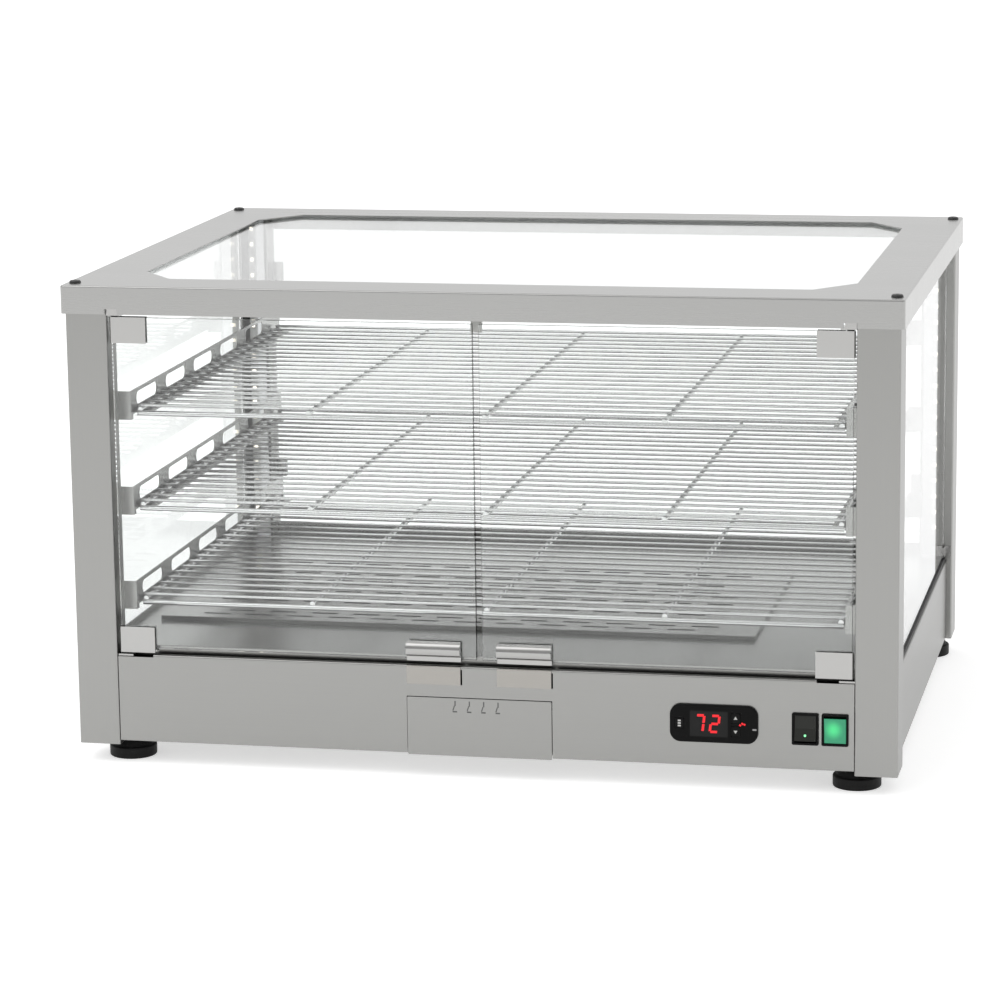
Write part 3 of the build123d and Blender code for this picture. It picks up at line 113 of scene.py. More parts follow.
class CabinetLook(bpy.types.PropertyGroup):
    """Colours and strengths of the cabinet's finishes"""

    sheet_colour: bpy.props.FloatVectorProperty(
        name="Sheet colour", description="Colour of the brushed stainless posts and base",
        subtype="COLOR", size=3, min=0, max=1, default=(0.335, 0.334, 0.324),
    )
    cap_colour: bpy.props.FloatVectorProperty(
        name="Cap colour", description="Colour of the cap, which is polished a little more",
        subtype="COLOR", size=3, min=0, max=1, default=(0.405, 0.404, 0.396),
    )
    # Painted reflection: the catch plates are the panel's steel, painted lighter and warmer to stand
    # in for the warm reflection on them
    plate_colour_painted_reflection: bpy.props.FloatVectorProperty(
        name="Catch plate colour", description="Colour of the warmer plates under the handles",
        subtype="COLOR", size=3, min=0, max=1, default=(0.362, 0.348, 0.326),
    )
    inner_colour: bpy.props.FloatVectorProperty(
        name="Inner colour", description="Colour of the floor and the other sheet inside",
        subtype="COLOR", size=3, min=0, max=1, default=(0.305, 0.304, 0.294),
    )
    fitting_colour: bpy.props.FloatVectorProperty(
        name="Fitting colour", description="Colour of the clamps, handles and brackets",
        subtype="COLOR", size=3, min=0, max=1, default=(0.43, 0.427, 0.418),
    )
    wire_colour: bpy.props.FloatVectorProperty(
        name="Wire colour", description="Colour of the plated rack wire",
        subtype="COLOR", size=3, min=0, max=1, default=(0.66, 0.66, 0.66),
    )
    glass_tint: bpy.props.FloatVectorProperty(
        name="Glass tint", description="Colour that the glass gives to what is behind it",
        subtype="COLOR", size=3, min=0, max=1, default=(0.975, 0.99, 0.985),
    )
    figure_colour: bpy.props.FloatVectorProperty(
        name="Figure colour", description="Colour of the lit figures on the display",
        subtype="COLOR", size=3, min=0, max=1, default=(0.62, 0.006, 0.012),
    )
    rocker_colour: bpy.props.FloatVectorProperty(
        name="Rocker glow", description="Colour at the middle of the lit rocker",
        subtype="COLOR", size=3, min=0, max=1, default=(0.08, 0.78, 0.26),
    )
    rocker_edge: bpy.props.FloatVectorProperty(
        name="Rocker edge", description="Colour towards the edges of the lit rocker",
        subtype="COLOR", size=3, min=0, max=1, default=(0.02, 0.20, 0.10),
    )
    lamp_colour: bpy.props.FloatVectorProperty(
        name="Lamp colour", description="Colour of the small lamps in the rear corners",
        subtype="COLOR", size=3, min=0, max=1, default=(1.0, 0.93, 0.80),
    )
    figures: bpy.props.StringProperty(
        name="Figures", description="Number shown on the display", default="72",
    )
    lamp_strength: bpy.props.FloatProperty(
        name="Lamp strength", description="Brightness of the small lamps",
        min=0, default=2.2,
    )
    figure_strength: bpy.props.FloatProperty(
        name="Figure strength", description="Brightness of the lit figures",
        min=0, default=0.9,
    )
    side_edge: bpy.props.FloatProperty(
        name="Side reflection", description="Reflection of the posts and sides at a low angle",
        min=0, max=1, default=0.84,
    )
    grain: bpy.props.FloatProperty(
        name="Grain", description="Depth of the brushing on the sheet",
        min=0, max=1, default=0.10,
    )


class CabinetMarks(bpy.types.PropertyGroup):
    """Sizes of the marks on the drawer and the controls"""

    figure_height: bpy.props.FloatProperty(
        name="Figure height", description="Height of the figures on the display",
        subtype="DISTANCE", unit="LENGTH", default=17.5 * MM,
    )
    figure_shift: bpy.props.FloatProperty(
        name="Figure shift", description="How far the number sits left of the window's middle",
        subtype="DISTANCE", unit="LENGTH", default=1.5 * MM,
    )
    figure_width: bpy.props.FloatProperty(
        name="Figure width", description="Width of one figure",
        subtype="DISTANCE", unit="LENGTH", default=9.6 * MM,
    )
    figure_pitch: bpy.props.FloatProperty(
        name="Figure pitch", description="Distance from one figure to the next",
        subtype="DISTANCE", unit="LENGTH", default=14.0 * MM,
    )
    stroke: bpy.props.FloatProperty(
        name="Stroke", description="Width of a lit segment",
        subtype="DISTANCE", unit="LENGTH", default=2.3 * MM,
    )
    mark_height: bpy.props.FloatProperty(
        name="Drawer mark height", description="Height of the marks on the drawer's face",
        subtype="DISTANCE", unit="LENGTH", default=12.0 * MM,
    )
    mark_pitch: bpy.props.FloatProperty(
        name="Drawer mark pitch", description="Distance between the drawer's marks",
        subtype="DISTANCE", unit="LENGTH", default=13.6 * MM,
    )


class CabinetStudio(bpy.types.PropertyGroup):
    """Floor, light and camera"""

    floor_size: bpy.props.FloatProperty(
        name="Floor size", description="Side of the plain floor",
        subtype="DISTANCE", unit="LENGTH", default=30.0,
    )
    floor_tone: bpy.props.FloatProperty(
        name="Floor tone", description="Brightness of the floor's own colour",
        min=0, max=1, default=0.86,
    )
    floor_lift: bpy.props.FloatProperty(
        name="Floor lift", description="Light the floor adds towards the camera and in reflections",
        min=0, default=0.52,
    )
    ambient: bpy.props.FloatProperty(
        name="Ambient", description="Strength of the surroundings as light",
        min=0, default=0.80,
    )
    front_level: bpy.props.FloatProperty(
        name="Front level",
        description="Brightness of the surroundings in front, as the metal mirrors them",
        min=0, default=0.52,
    )
    key_power: bpy.props.FloatProperty(
        name="Key power", description="Power of the large soft lamp",
        subtype="POWER", unit="POWER", default=24.0,
    )
    lens: bpy.props.FloatProperty(
        name="Lens", description="Focal length", subtype="DISTANCE_CAMERA", default=134.02,
    )
    camera_place: bpy.props.FloatVectorProperty(
        name="Camera place", description="Where the camera stands",
        subtype="TRANSLATION", unit="LENGTH", size=3, default=(0.7162, -3.5660, 0.9384),
    )
    camera_turn: bpy.props.FloatVectorProperty(
        name="Camera turn", description="Heading, tilt and roll of the camera",
        subtype="EULER", unit="ROTATION", size=3,
        default=(math.radians(-11.980), math.radians(-11.379), math.radians(-0.735)),
    )


# Materials


def link(tree, source, target):
    """Joins two sockets."""
    tree.links.new(source, target)


def add_node(tree, kind, **values):
    """A node with its fields set."""
    node = tree.nodes.new(kind)
    for name, value in values.items():
        setattr(node, name, value)
    return node


def brushed_group():
    """Grain, tone and gloss of brushed or rolled metal, from a vector stretched by the material."""
    name = "Brushed grain"
    if name in bpy.data.node_groups:
        return bpy.data.node_groups[name]
    tree = bpy.data.node_groups.new(name, "ShaderNodeTree")
    face = tree.interface
    face.new_socket("Vector", in_out="INPUT", socket_type="NodeSocketVector")
    colour_in = face.new_socket("Colour", in_out="INPUT", socket_type="NodeSocketColor")
    colour_in.default_value = (0.5, 0.5, 0.5, 1)
    depth = face.new_socket("Depth", in_out="INPUT", socket_type="NodeSocketFloat")
    depth.default_value = 0.06
    rough = face.new_socket("Roughness", in_out="INPUT", socket_type="NodeSocketFloat")
    rough.default_value = 0.3
    face.new_socket("Colour", in_out="OUTPUT", socket_type="NodeSocketColor")
    face.new_socket("Roughness", in_out="OUTPUT", socket_type="NodeSocketFloat")
    face.new_socket("Height", in_out="OUTPUT", socket_type="NodeSocketFloat")
    enter = tree.nodes.new("NodeGroupInput")
    leave = tree.nodes.new("NodeGroupOutput")
    grain = add_node(tree, "ShaderNodeTexNoise")
    grain.inputs["Scale"].default_value = 1.0
    grain.inputs["Detail"].default_value = 3.0
    grain.inputs["Roughness"].default_value = 0.65
    link(tree, enter.outputs["Vector"], grain.inputs["Vector"])
    cloud = add_node(tree, "ShaderNodeTexNoise")
    cloud.inputs["Scale"].default_value = 0.012
    cloud.inputs["Detail"].default_value = 2.0
    link(tree, enter.outputs["Vector"], cloud.inputs["Vector"])
    both = add_node(tree, "ShaderNodeMath", operation="MULTIPLY_ADD")
    both.inputs[1].default_value = 0.55
    link(tree, grain.outputs["Fac"], both.inputs[0])
    half_cloud = add_node(tree, "ShaderNodeMath", operation="MULTIPLY")
    half_cloud.inputs[1].default_value = 0.45
    link(tree, cloud.outputs["Fac"], half_cloud.inputs[0])
    link(tree, half_cloud.outputs["Value"], both.inputs[2])
    spread = add_node(tree, "ShaderNodeMapRange")
    spread.inputs["From Min"].default_value = 0.3
    spread.inputs["From Max"].default_value = 0.7
    spread.inputs["To Min"].default_value = -1.0
    spread.inputs["To Max"].default_value = 1.0
    link(tree, both.outputs["Value"], spread.inputs["Value"])
    shade = add_node(tree, "ShaderNodeMath", operation="MULTIPLY_ADD")
    shade.inputs[2].default_value = 1.0
    link(tree, spread.outputs["Result"], shade.inputs[0])
    link(tree, enter.outputs["Depth"], shade.inputs[1])
    tinted = add_node(tree, "ShaderNodeVectorMath", operation="SCALE")
    link(tree, enter.outputs["Colour"], tinted.inputs["Vector"])
    link(tree, shade.outputs["Value"], tinted.inputs["Scale"])
    link(tree, tinted.outputs["Vector"], leave.inputs["Colour"])
    gloss = add_node(tree, "ShaderNodeMath", operation="MULTIPLY_ADD")
    link(tree, spread.outputs["Result"], gloss.inputs[0])
    link(tree, enter.outputs["Depth"], gloss.inputs[1])
    link(tree, enter.outputs["Roughness"], gloss.inputs[2])
    link(tree, gloss.outputs["Value"], leave.inputs["Roughness"])
    link(tree, grain.outputs["Fac"], leave.inputs["Height"])
    return tree


def plain_material(name, colour, roughness, metallic=0.0, coat=0.0, sheen=0.5, edge=1.0):
    """A material with one colour; sheen and edge dim its reflection, all over and at a low angle."""
    material = bpy.data.materials.new(name)
    material.use_nodes = True
    shader = material.node_tree.nodes["Principled BSDF"]
    shader.inputs["Base Color"].default_value = (*colour, 1)
    shader.inputs["Roughness"].default_value = roughness
    shader.inputs["Metallic"].default_value = metallic
    shader.inputs["Specular IOR Level"].default_value = sheen
    shader.inputs["Specular Tint"].default_value = (edge, edge, edge, 1)
    shader.inputs["Coat Weight"].default_value = coat
    shader.inputs["Coat Roughness"].default_value = 0.05
    return material


def metal_material(name, colour, roughness, stretch, depth, bump, edge=1.0):
    """Brushed or rolled metal whose grain runs along the axis with the smallest stretch."""
    material = plain_material(name, colour, roughness, metallic=1.0, edge=edge)
    tree = material.node_tree
    shader = tree.nodes["Principled BSDF"]
    place = add_node(tree, "ShaderNodeTexCoord")
    mapping = add_node(tree, "ShaderNodeMapping")
    mapping.inputs["Scale"].default_value = stretch
    link(tree, place.outputs["Object"], mapping.inputs["Vector"])
    grain = add_node(tree, "ShaderNodeGroup", node_tree=brushed_group())
    grain.inputs["Colour"].default_value = (*colour, 1)
    grain.inputs["Depth"].default_value = depth
    grain.inputs["Roughness"].default_value = roughness
    link(tree, mapping.outputs["Vector"], grain.inputs["Vector"])
    link(tree, grain.outputs["Colour"], shader.inputs["Base Color"])
    link(tree, grain.outputs["Roughness"], shader.inputs["Roughness"])
    relief = add_node(tree, "ShaderNodeBump")
    relief.inputs["Strength"].default_value = bump
    relief.inputs["Distance"].default_value = 0.1 * MM
    link(tree, grain.outputs["Height"], relief.inputs["Height"])
    link(tree, relief.outputs["Normal"], shader.inputs["Normal"])
    return material


def glass_material(name, tint):
    """Clear glass that lets most of the light through to what it covers."""
    material = plain_material(name, tint, 0.0)
    tree = material.node_tree
    shader = tree.nodes["Principled BSDF"]
    shader.inputs["Transmission Weight"].default_value = 1.0
    shader.inputs["IOR"].default_value = 1.48
    path = add_node(tree, "ShaderNodeLightPath")
    solid = add_node(tree, "ShaderNodeMath", operation="MULTIPLY_ADD")
    solid.inputs[1].default_value = -0.93
    solid.inputs[2].default_value = 1.0
    link(tree, path.outputs["Is Shadow Ray"], solid.inputs[0])
    link(tree, solid.outputs["Value"], shader.inputs["Alpha"])
    return material


def lit_material(name, colour, strength):
    """A lit plastic or lamp face."""
    material = plain_material(name, colour, 0.3)
    shader = material.node_tree.nodes["Principled BSDF"]
    shader.inputs["Emission Color"].default_value = (*colour, 1)
    shader.inputs["Emission Strength"].default_value = strength
    return material


def glow_material(name, middle, edge, centre, reach, strength):
    """A lit plastic face, bright round centre and darker out to reach."""
    material = plain_material(name, edge, 0.25)
    tree = material.node_tree
    shader = tree.nodes["Principled BSDF"]
    place = add_node(tree, "ShaderNodeTexCoord")
    offset = add_node(tree, "ShaderNodeVectorMath", operation="SUBTRACT")
    offset.inputs[1].default_value = centre
    link(tree, place.outputs["Object"], offset.inputs[0])
    scaled = add_node(tree, "ShaderNodeVectorMath", operation="MULTIPLY")
    scaled.inputs[1].default_value = (1 / reach[0], 0.0, 1 / reach[1])
    link(tree, offset.outputs["Vector"], scaled.inputs[0])
    far = add_node(tree, "ShaderNodeVectorMath", operation="LENGTH")
    link(tree, scaled.outputs["Vector"], far.inputs[0])
    fade = add_node(tree, "ShaderNodeMapRange", interpolation_type="SMOOTHSTEP")
    fade.inputs["From Min"].default_value = 0.05
    fade.inputs["From Max"].default_value = 1.0
    link(tree, far.outputs["Value"], fade.inputs["Value"])
    glow = add_node(tree, "ShaderNodeMix", data_type="RGBA")
    link(tree, fade.outputs["Result"], glow.inputs["Factor"])
    glow.inputs["A"].default_value = (*middle, 1)
    glow.inputs["B"].default_value = (*edge, 1)
    link(tree, glow.outputs["Result"], shader.inputs["Emission Color"])
    shader.inputs["Emission Strength"].default_value = strength
    return material


def rubber_material(name, colour, roughness, sheen=0.5):
    """Rubber or grained plastic with a fine uneven surface."""
    material = plain_material(name, colour, roughness, sheen=sheen)
    tree = material.node_tree
    shader = tree.nodes["Principled BSDF"]
    place = add_node(tree, "ShaderNodeTexCoord")
    speck = add_node(tree, "ShaderNodeTexNoise")
    speck.inputs["Scale"].default_value = 900.0
    speck.inputs["Detail"].default_value = 2.0
    link(tree, place.outputs["Object"], speck.inputs["Vector"])
    relief = add_node(tree, "ShaderNodeBump")
    relief.inputs["Strength"].default_value = 0.2
    relief.inputs["Distance"].default_value = 0.2 * MM
    link(tree, speck.outputs["Fac"], relief.inputs["Height"])
    link(tree, relief.outputs["Normal"], shader.inputs["Normal"])
    return material


def seal_material(name, low_tone, high_tone, level):
    """Black seal below a level, and the paler strip between the roof pane and the cap above it."""
    material = rubber_material(name, (low_tone, low_tone, low_tone), 0.6, 0.3)
    tree = material.node_tree
    shader = tree.nodes["Principled BSDF"]
    place = add_node(tree, "ShaderNodeTexCoord")
    split = add_node(tree, "ShaderNodeSeparateXYZ")
    link(tree, place.outputs["Object"], split.inputs["Vector"])
    above = add_node(tree, "ShaderNodeMath", operation="GREATER_THAN")
    above.inputs[1].default_value = level
    link(tree, split.outputs["Z"], above.inputs[0])
    tone = add_node(tree, "ShaderNodeMix", data_type="RGBA")
    link(tree, above.outputs["Value"], tone.inputs["Factor"])
    tone.inputs["A"].default_value = (low_tone, low_tone, low_tone, 1)
    tone.inputs["B"].default_value = (high_tone, high_tone, high_tone, 1)
    link(tree, tone.outputs["Result"], shader.inputs["Base Color"])
    return material


def finish_nodes(names, material):
    """Puts one material on CAD nodes."""
    for name in names:
        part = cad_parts[name]
        if not part.material_slots:
            part.data.materials.append(material)
        for slot in part.material_slots:
            slot.material = material


# Meshes


def new_piece(name, mesh, material, body):
    """An object at the origin from a bmesh that is already in place."""
    data = bpy.data.meshes.new(name)
    bmesh.ops.recalc_face_normals(mesh, faces=mesh.faces[:])
    mesh.to_mesh(data)
    mesh.free()
    piece = bpy.data.objects.new(name, data)
    bpy.context.scene.collection.objects.link(piece)
    data.materials.append(material)
    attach(piece, body)
    return piece


def add_box(mesh, centre, size, turn=None, round_by=0.0):
    """A box in a bmesh, turned about its centre and softened at its edges."""
    placed = Matrix.Translation(Vector(centre))
    if turn is not None:
        placed = placed @ turn
    made = bmesh.ops.create_cube(mesh, size=1.0, matrix=placed @ Matrix.Diagonal((*size, 1)))
    if round_by > 0:
        edges = {edge for vert in made["verts"] for edge in vert.link_edges}
        bmesh.ops.bevel(
            mesh, geom=list(edges), offset=round_by, offset_type="OFFSET", segments=2,
            profile=0.5, affect="EDGES", material=-1, clamp_overlap=True,
        )


def add_disc(mesh, centre, radius, thickness, segments, turn=0.0):
    """A flat prism that faces the front."""
    placed = Matrix.Translation(Vector(centre)) @ Matrix.Rotation(math.radians(90), 4, "X")
    placed = placed @ Matrix.Rotation(turn, 4, "Z")
    bmesh.ops.create_cone(
        mesh, cap_ends=True, segments=segments, radius1=radius, radius2=radius,
        depth=thickness, matrix=placed,
    )


def add_figure(mesh, figure, centre, width, height, stroke, thickness):
    """One seven-segment figure, leaning a little to the right."""
    half_w = (width - stroke) / 2
    half_h = (height - stroke) / 2
    across = (width - 1.5 * stroke, thickness, stroke)
    upright = (stroke, thickness, half_h - 0.5 * stroke)
    places = {
        "a": ((0, 0, half_h), across), "g": ((0, 0, 0), across), "d": ((0, 0, -half_h), across),
        "f": ((-half_w, 0, half_h / 2), upright), "b": ((half_w, 0, half_h / 2), upright),
        "e": ((-half_w, 0, -half_h / 2), upright), "c": ((half_w, 0, -half_h / 2), upright),
    }
    before = set(mesh.verts)
    for segment in LIT_SEGMENTS[figure]:
        offset, size = places[segment]
        add_box(mesh, offset, size)
    verts = [vert for vert in mesh.verts if vert not in before]
    lean = Matrix.Shear("XY", 4, (0.12, 0.0))
    bmesh.ops.transform(mesh, matrix=Matrix.Translation(Vector(centre)) @ lean, verts=verts)


# Operators


class CABINET_OT_sheet(bpy.types.Operator):
    """Brushed stainless finish for the folded sheet"""

    bl_idname = "cabinet.sheet"
    bl_label = "Finish the sheet"

    def execute(self, context):
        look = context.scene.cabinet_look
        depth = 0.2 * look.grain
        relief = 0.3 * look.grain
        tone = tuple(look.sheet_colour)
        rail_tone = tuple(1.1 * part for part in tone)
        edge = look.side_edge
        finishes = (
            ("Sheet grain across", tone, 0.30, GRAIN_X, 1.0, SHEET_ACROSS),
            ("Sheet grain up", tone, 0.30, GRAIN_Z, edge, SHEET_UP),
            ("Sheet grain deep", tone, 0.30, GRAIN_Y, edge, SHEET_DEEP),
            # The catch plates' lighter, warmer tone is a painted reflection
            ("Catch plate", tuple(look.plate_colour_painted_reflection), 0.26, GRAIN_X, 1.0, ("catch_plates",)),
            ("Cap grain", tuple(look.cap_colour), 0.28, GRAIN_X, 1.0, ("top_frame",)),
            ("Inner sheet", tuple(look.inner_colour), 0.24, GRAIN_X, 1.0, SHEET_INSIDE),
            ("Rail sheet", rail_tone, 0.26, GRAIN_Y, 1.0, RAILS),
        )
        for name, colour, roughness, stretch, dimming, nodes in finishes:
            sheet = metal_material(name, colour, roughness, stretch, depth, relief, dimming)
            finish_nodes(nodes, sheet)
        return {"FINISHED"}


class CABINET_OT_glass(bpy.types.Operator):
    """Clear glass for the roof, the walls and the doors"""

    bl_idname = "cabinet.glass"
    bl_label = "Finish the glass"

    def execute(self, context):
        look = context.scene.cabinet_look
        clear = glass_material("Clear glass", tuple(look.glass_tint))
        finish_nodes(PANES, clear)
        return {"FINISHED"}


class CABINET_OT_racks(bpy.types.Operator):
    """Plated wire for the racks"""

    bl_idname = "cabinet.racks"
    bl_label = "Finish the racks"

    def execute(self, context):
        tone = tuple(context.scene.cabinet_look.wire_colour)
        wire = metal_material("Plated wire", tone, 0.17, (40.0, 40.0, 40.0), 0.05, 0.0)
        finish_nodes(RACKS, wire)
        return {"FINISHED"}


class CABINET_OT_fittings(bpy.types.Operator):
    """Bright fittings, screws, seals and feet"""

    bl_idname = "cabinet.fittings"
    bl_label = "Finish the fittings"

    def execute(self, context):
        tone = tuple(context.scene.cabinet_look.fitting_colour)
        bright = metal_material("Bright fitting", tone, 0.22, (90.0, 900.0, 900.0), 0.04, 0.04)
        finish_nodes(FITTINGS, bright)
        dark = plain_material("Dark steel", (0.05, 0.05, 0.05), 0.4, 0.6)
        finish_nodes(("frame_screws", "hinge_pins"), dark)
        washer = plain_material("Black washer", (0.01, 0.01, 0.01), 0.5, sheen=0.3)
        finish_nodes(("hinge_bushes",), washer)
        finish_nodes(("feet",), rubber_material("Foot rubber", (0.006, 0.006, 0.006), 0.55, 0.22))
        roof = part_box("top_glass")[0].z
        finish_nodes(("glass_seals",), seal_material("Glass seal", 0.05, 0.62, roof))
        finish_nodes(("door_stop",), plain_material("Door stop", (0.75, 0.75, 0.72), 0.4))
        return {"FINISHED"}


class CABINET_OT_works(bpy.types.Operator):
    """Heater, lights, wiring parts and the inlet"""

    bl_idname = "cabinet.works"
    bl_label = "Finish the works"

    def execute(self, context):
        look = context.scene.cabinet_look
        finish_nodes(("heating_element",), metal_material(
            "Heated sheath", (0.16, 0.14, 0.13), 0.45, (30.0, 30.0, 30.0), 0.1, 0.05))
        finish_nodes(("heater_brackets",), metal_material(
            "Galvanised plate", (0.52, 0.53, 0.54), 0.42, (60.0, 60.0, 60.0), 0.08, 0.0))
        finish_nodes(("led_profiles",), metal_material(
            "Plain aluminium", (0.86, 0.86, 0.87), 0.35, (900.0, 900.0, 9.0), 0.02, 0.02))
        finish_nodes(("led_tapes",), plain_material("Light tape", (0.90, 0.90, 0.88), 0.45))
        finish_nodes(("power_inlet", "safety_thermostat"), rubber_material(
            "Inlet plastic", (0.025, 0.025, 0.027), 0.45))
        finish_nodes(("terminal_block", "led_driver"), plain_material(
            "Pale plastic", (0.72, 0.72, 0.68), 0.45))
        self.add_lamp_faces(look)
        return {"FINISHED"}

    def add_lamp_faces(self, look):
        """A lit face over each small lamp on the tapes."""
        low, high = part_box("led_tapes")
        count = round((high.z - low.z) / LAMP_PITCH)
        mesh = bmesh.new()
        for side in (-1, 1):
            x = side * (high.x - LAMP_INSET)
            for i in range(count):
                place = (x, low.y - LAMP_PROUD, low.z + (i + 0.5) * LAMP_PITCH)
                add_box(mesh, place, LAMP_FACE, round_by=LAMP_SOFTENING)
        lit = lit_material("Lamp face", tuple(look.lamp_colour), look.lamp_strength)
        new_piece("lamp_faces", mesh, lit, "cabinet")


class CABINET_OT_controls(bpy.types.Operator):
    """Controller, keys, figures and rockers"""

    bl_idname = "cabinet.controls"
    bl_label = "Finish the controls"

    def execute(self, context):
        look = context.scene.cabinet_look
        marks = context.scene.cabinet_marks
        case = rubber_material("Controller shell", (0.004, 0.004, 0.004), 0.38, 0.10)
        finish_nodes(("controller_body", "switch_housings"), case)
        soft = rubber_material("Soft key", (0.006, 0.006, 0.006), 0.5, 0.12)
        finish_nodes(("key_set", "key_up", "key_down"), soft)
        smoked = plain_material("Smoked window", (0.016, 0.016, 0.016), 0.12, coat=0.05, sheen=0.12)
        finish_nodes(("controller_window",), smoked)
        black = plain_material("Black rocker", (0.022, 0.023, 0.020), 0.35, sheen=0.25)
        finish_nodes(("rocker_light",), black)
        low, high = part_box("rocker_heat")
        half = (high - low) / 2
        middle = (low.x + 0.85 * half.x, 0.0, low.z + 1.1 * half.z)
        reach = (1.05 * half.x, 0.95 * half.z)
        colours = (tuple(look.rocker_colour), tuple(look.rocker_edge))
        glow = glow_material("Lit rocker", *colours, middle, reach, 0.8)
        finish_nodes(("rocker_heat",), glow)
        self.add_figures(look, marks)
        self.add_key_marks()
        self.add_rocker_marks()
        return {"FINISHED"}

    def add_figures(self, look, marks):
        """The lit number and the small lit sign beside it."""
        low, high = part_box("controller_window")
        front = low.y - FIGURE_PROUD
        centre = (low + high) / 2
        mesh = bmesh.new()
        start = -(len(look.figures) - 1) / 2
        for i, figure in enumerate(look.figures):
            x = centre.x - marks.figure_shift + (start + i) * marks.figure_pitch
            place = (x, front, centre.z + FIGURE_RISE)
            size = (marks.figure_width, marks.figure_height)
            add_figure(mesh, figure, place, *size, marks.stroke, FIGURE_SKIN)
        lit = lit_material("Lit figure", tuple(look.figure_colour), look.figure_strength)
        new_piece("display_figures", mesh, lit, "cabinet")
        self.add_signs(lit)

    def add_signs(self, lit):
        """The small lit sign beside the right keys and the pale tick at the bezel's end."""
        low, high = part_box("controller_body")
        front = low.y - PRINT_PROUD
        middle = (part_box("key_up")[0].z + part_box("key_down")[1].z) / 2
        x = (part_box("key_up")[0].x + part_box("key_up")[1].x) / 2 + 6.2 * MM
        mesh = bmesh.new()
        lean = Matrix.Rotation(0.5, 4, "Y")
        for dx, dz in ((-2.0, -0.6), (0.0, 0.9), (2.0, 0.2)):
            place = (x + dx * MM, front, middle + (0.6 + dz) * MM)
            add_box(mesh, place, (1.9 * MM, PRINT_SKIN, 1.7 * MM), lean)
        new_piece("display_sign", mesh, lit, "cabinet")
        mesh = bmesh.new()
        place = (high.x - 3.0 * MM, front, middle - 3.8 * MM)
        add_box(mesh, place, (3.6 * MM, PRINT_SKIN, 1.5 * MM))
        tick = plain_material("Bezel tick", (0.40, 0.40, 0.40), 0.5)
        new_piece("bezel_tick", mesh, tick, "cabinet")

    def add_key_marks(self):
        """Arrows on the right keys and three bars on the left one."""
        pale = plain_material("Key mark", (0.62, 0.62, 0.60), 0.5)
        for key, turn in (("key_up", 0.0), ("key_down", math.pi)):
            low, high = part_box(key)
            centre = (low + high) / 2
            mesh = bmesh.new()
            place = (centre.x, low.y - PRINT_PROUD, centre.z)
            add_disc(mesh, place, 2.0 * MM, PRINT_SKIN, 3, turn)
            new_piece(f"{key}_mark", mesh, pale, key)
        low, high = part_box("key_set")
        centre = (low + high) / 2
        mesh = bmesh.new()
        for i in (-1, 0, 1):
            place = (centre.x, low.y - PRINT_PROUD, centre.z + i * 2.4 * MM)
            add_box(mesh, place, (2.8 * MM, PRINT_SKIN, 1.5 * MM))
        new_piece("key_set_mark", mesh, pale, "key_set")

    def add_rocker_marks(self):
        """A small lit dot on the black rocker."""
        low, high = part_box("rocker_light")
        centre = (low + high) / 2
        mesh = bmesh.new()
        place = (centre.x, low.y + 0.9 * MM, centre.z - 6.5 * MM)
        add_disc(mesh, place, 1.1 * MM, 1.0 * MM, 24)
        dot = lit_material("Small green lamp", (0.25, 0.85, 0.4), 0.8)
        new_piece("rocker_light_dot", mesh, dot, "rocker_light")


class CABINET_OT_drawer_marks(bpy.types.Operator):
    """Four printed drip marks on the drawer's face"""

    bl_idname = "cabinet.drawer_marks"
    bl_label = "Print the drawer marks"

    def execute(self, context):
        marks = context.scene.cabinet_marks
        low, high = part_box("drawer_front")
        front = low.y - PRINT_PROUD
        top = high.z - DRIP_DROP
        tall = marks.mark_height
        stem = (1.1 * MM, DRIP_SKIN, 0.40 * tall)
        bend = (1.0 * MM, DRIP_SKIN, 0.40 * tall)
        foot = (4.2 * MM, DRIP_SKIN, 1.3 * MM)
        lean = Matrix.Rotation(math.radians(18), 4, "Y")
        mesh = bmesh.new()
        for i in range(DRIP_COUNT):
            x = low.x + DRIP_START + i * marks.mark_pitch
            add_box(mesh, (x + 1.2 * MM, front, top - 0.20 * tall), stem)
            add_box(mesh, (x - 0.2 * MM, front, top - 0.58 * tall), bend, lean)
            add_box(mesh, (x + 0.9 * MM, front, top - 0.86 * tall), foot)
        ink = plain_material("Mark ink", (0.10, 0.10, 0.10), 0.5)
        new_piece("drawer_marks", mesh, ink, "drawer")
        return {"FINISHED"}


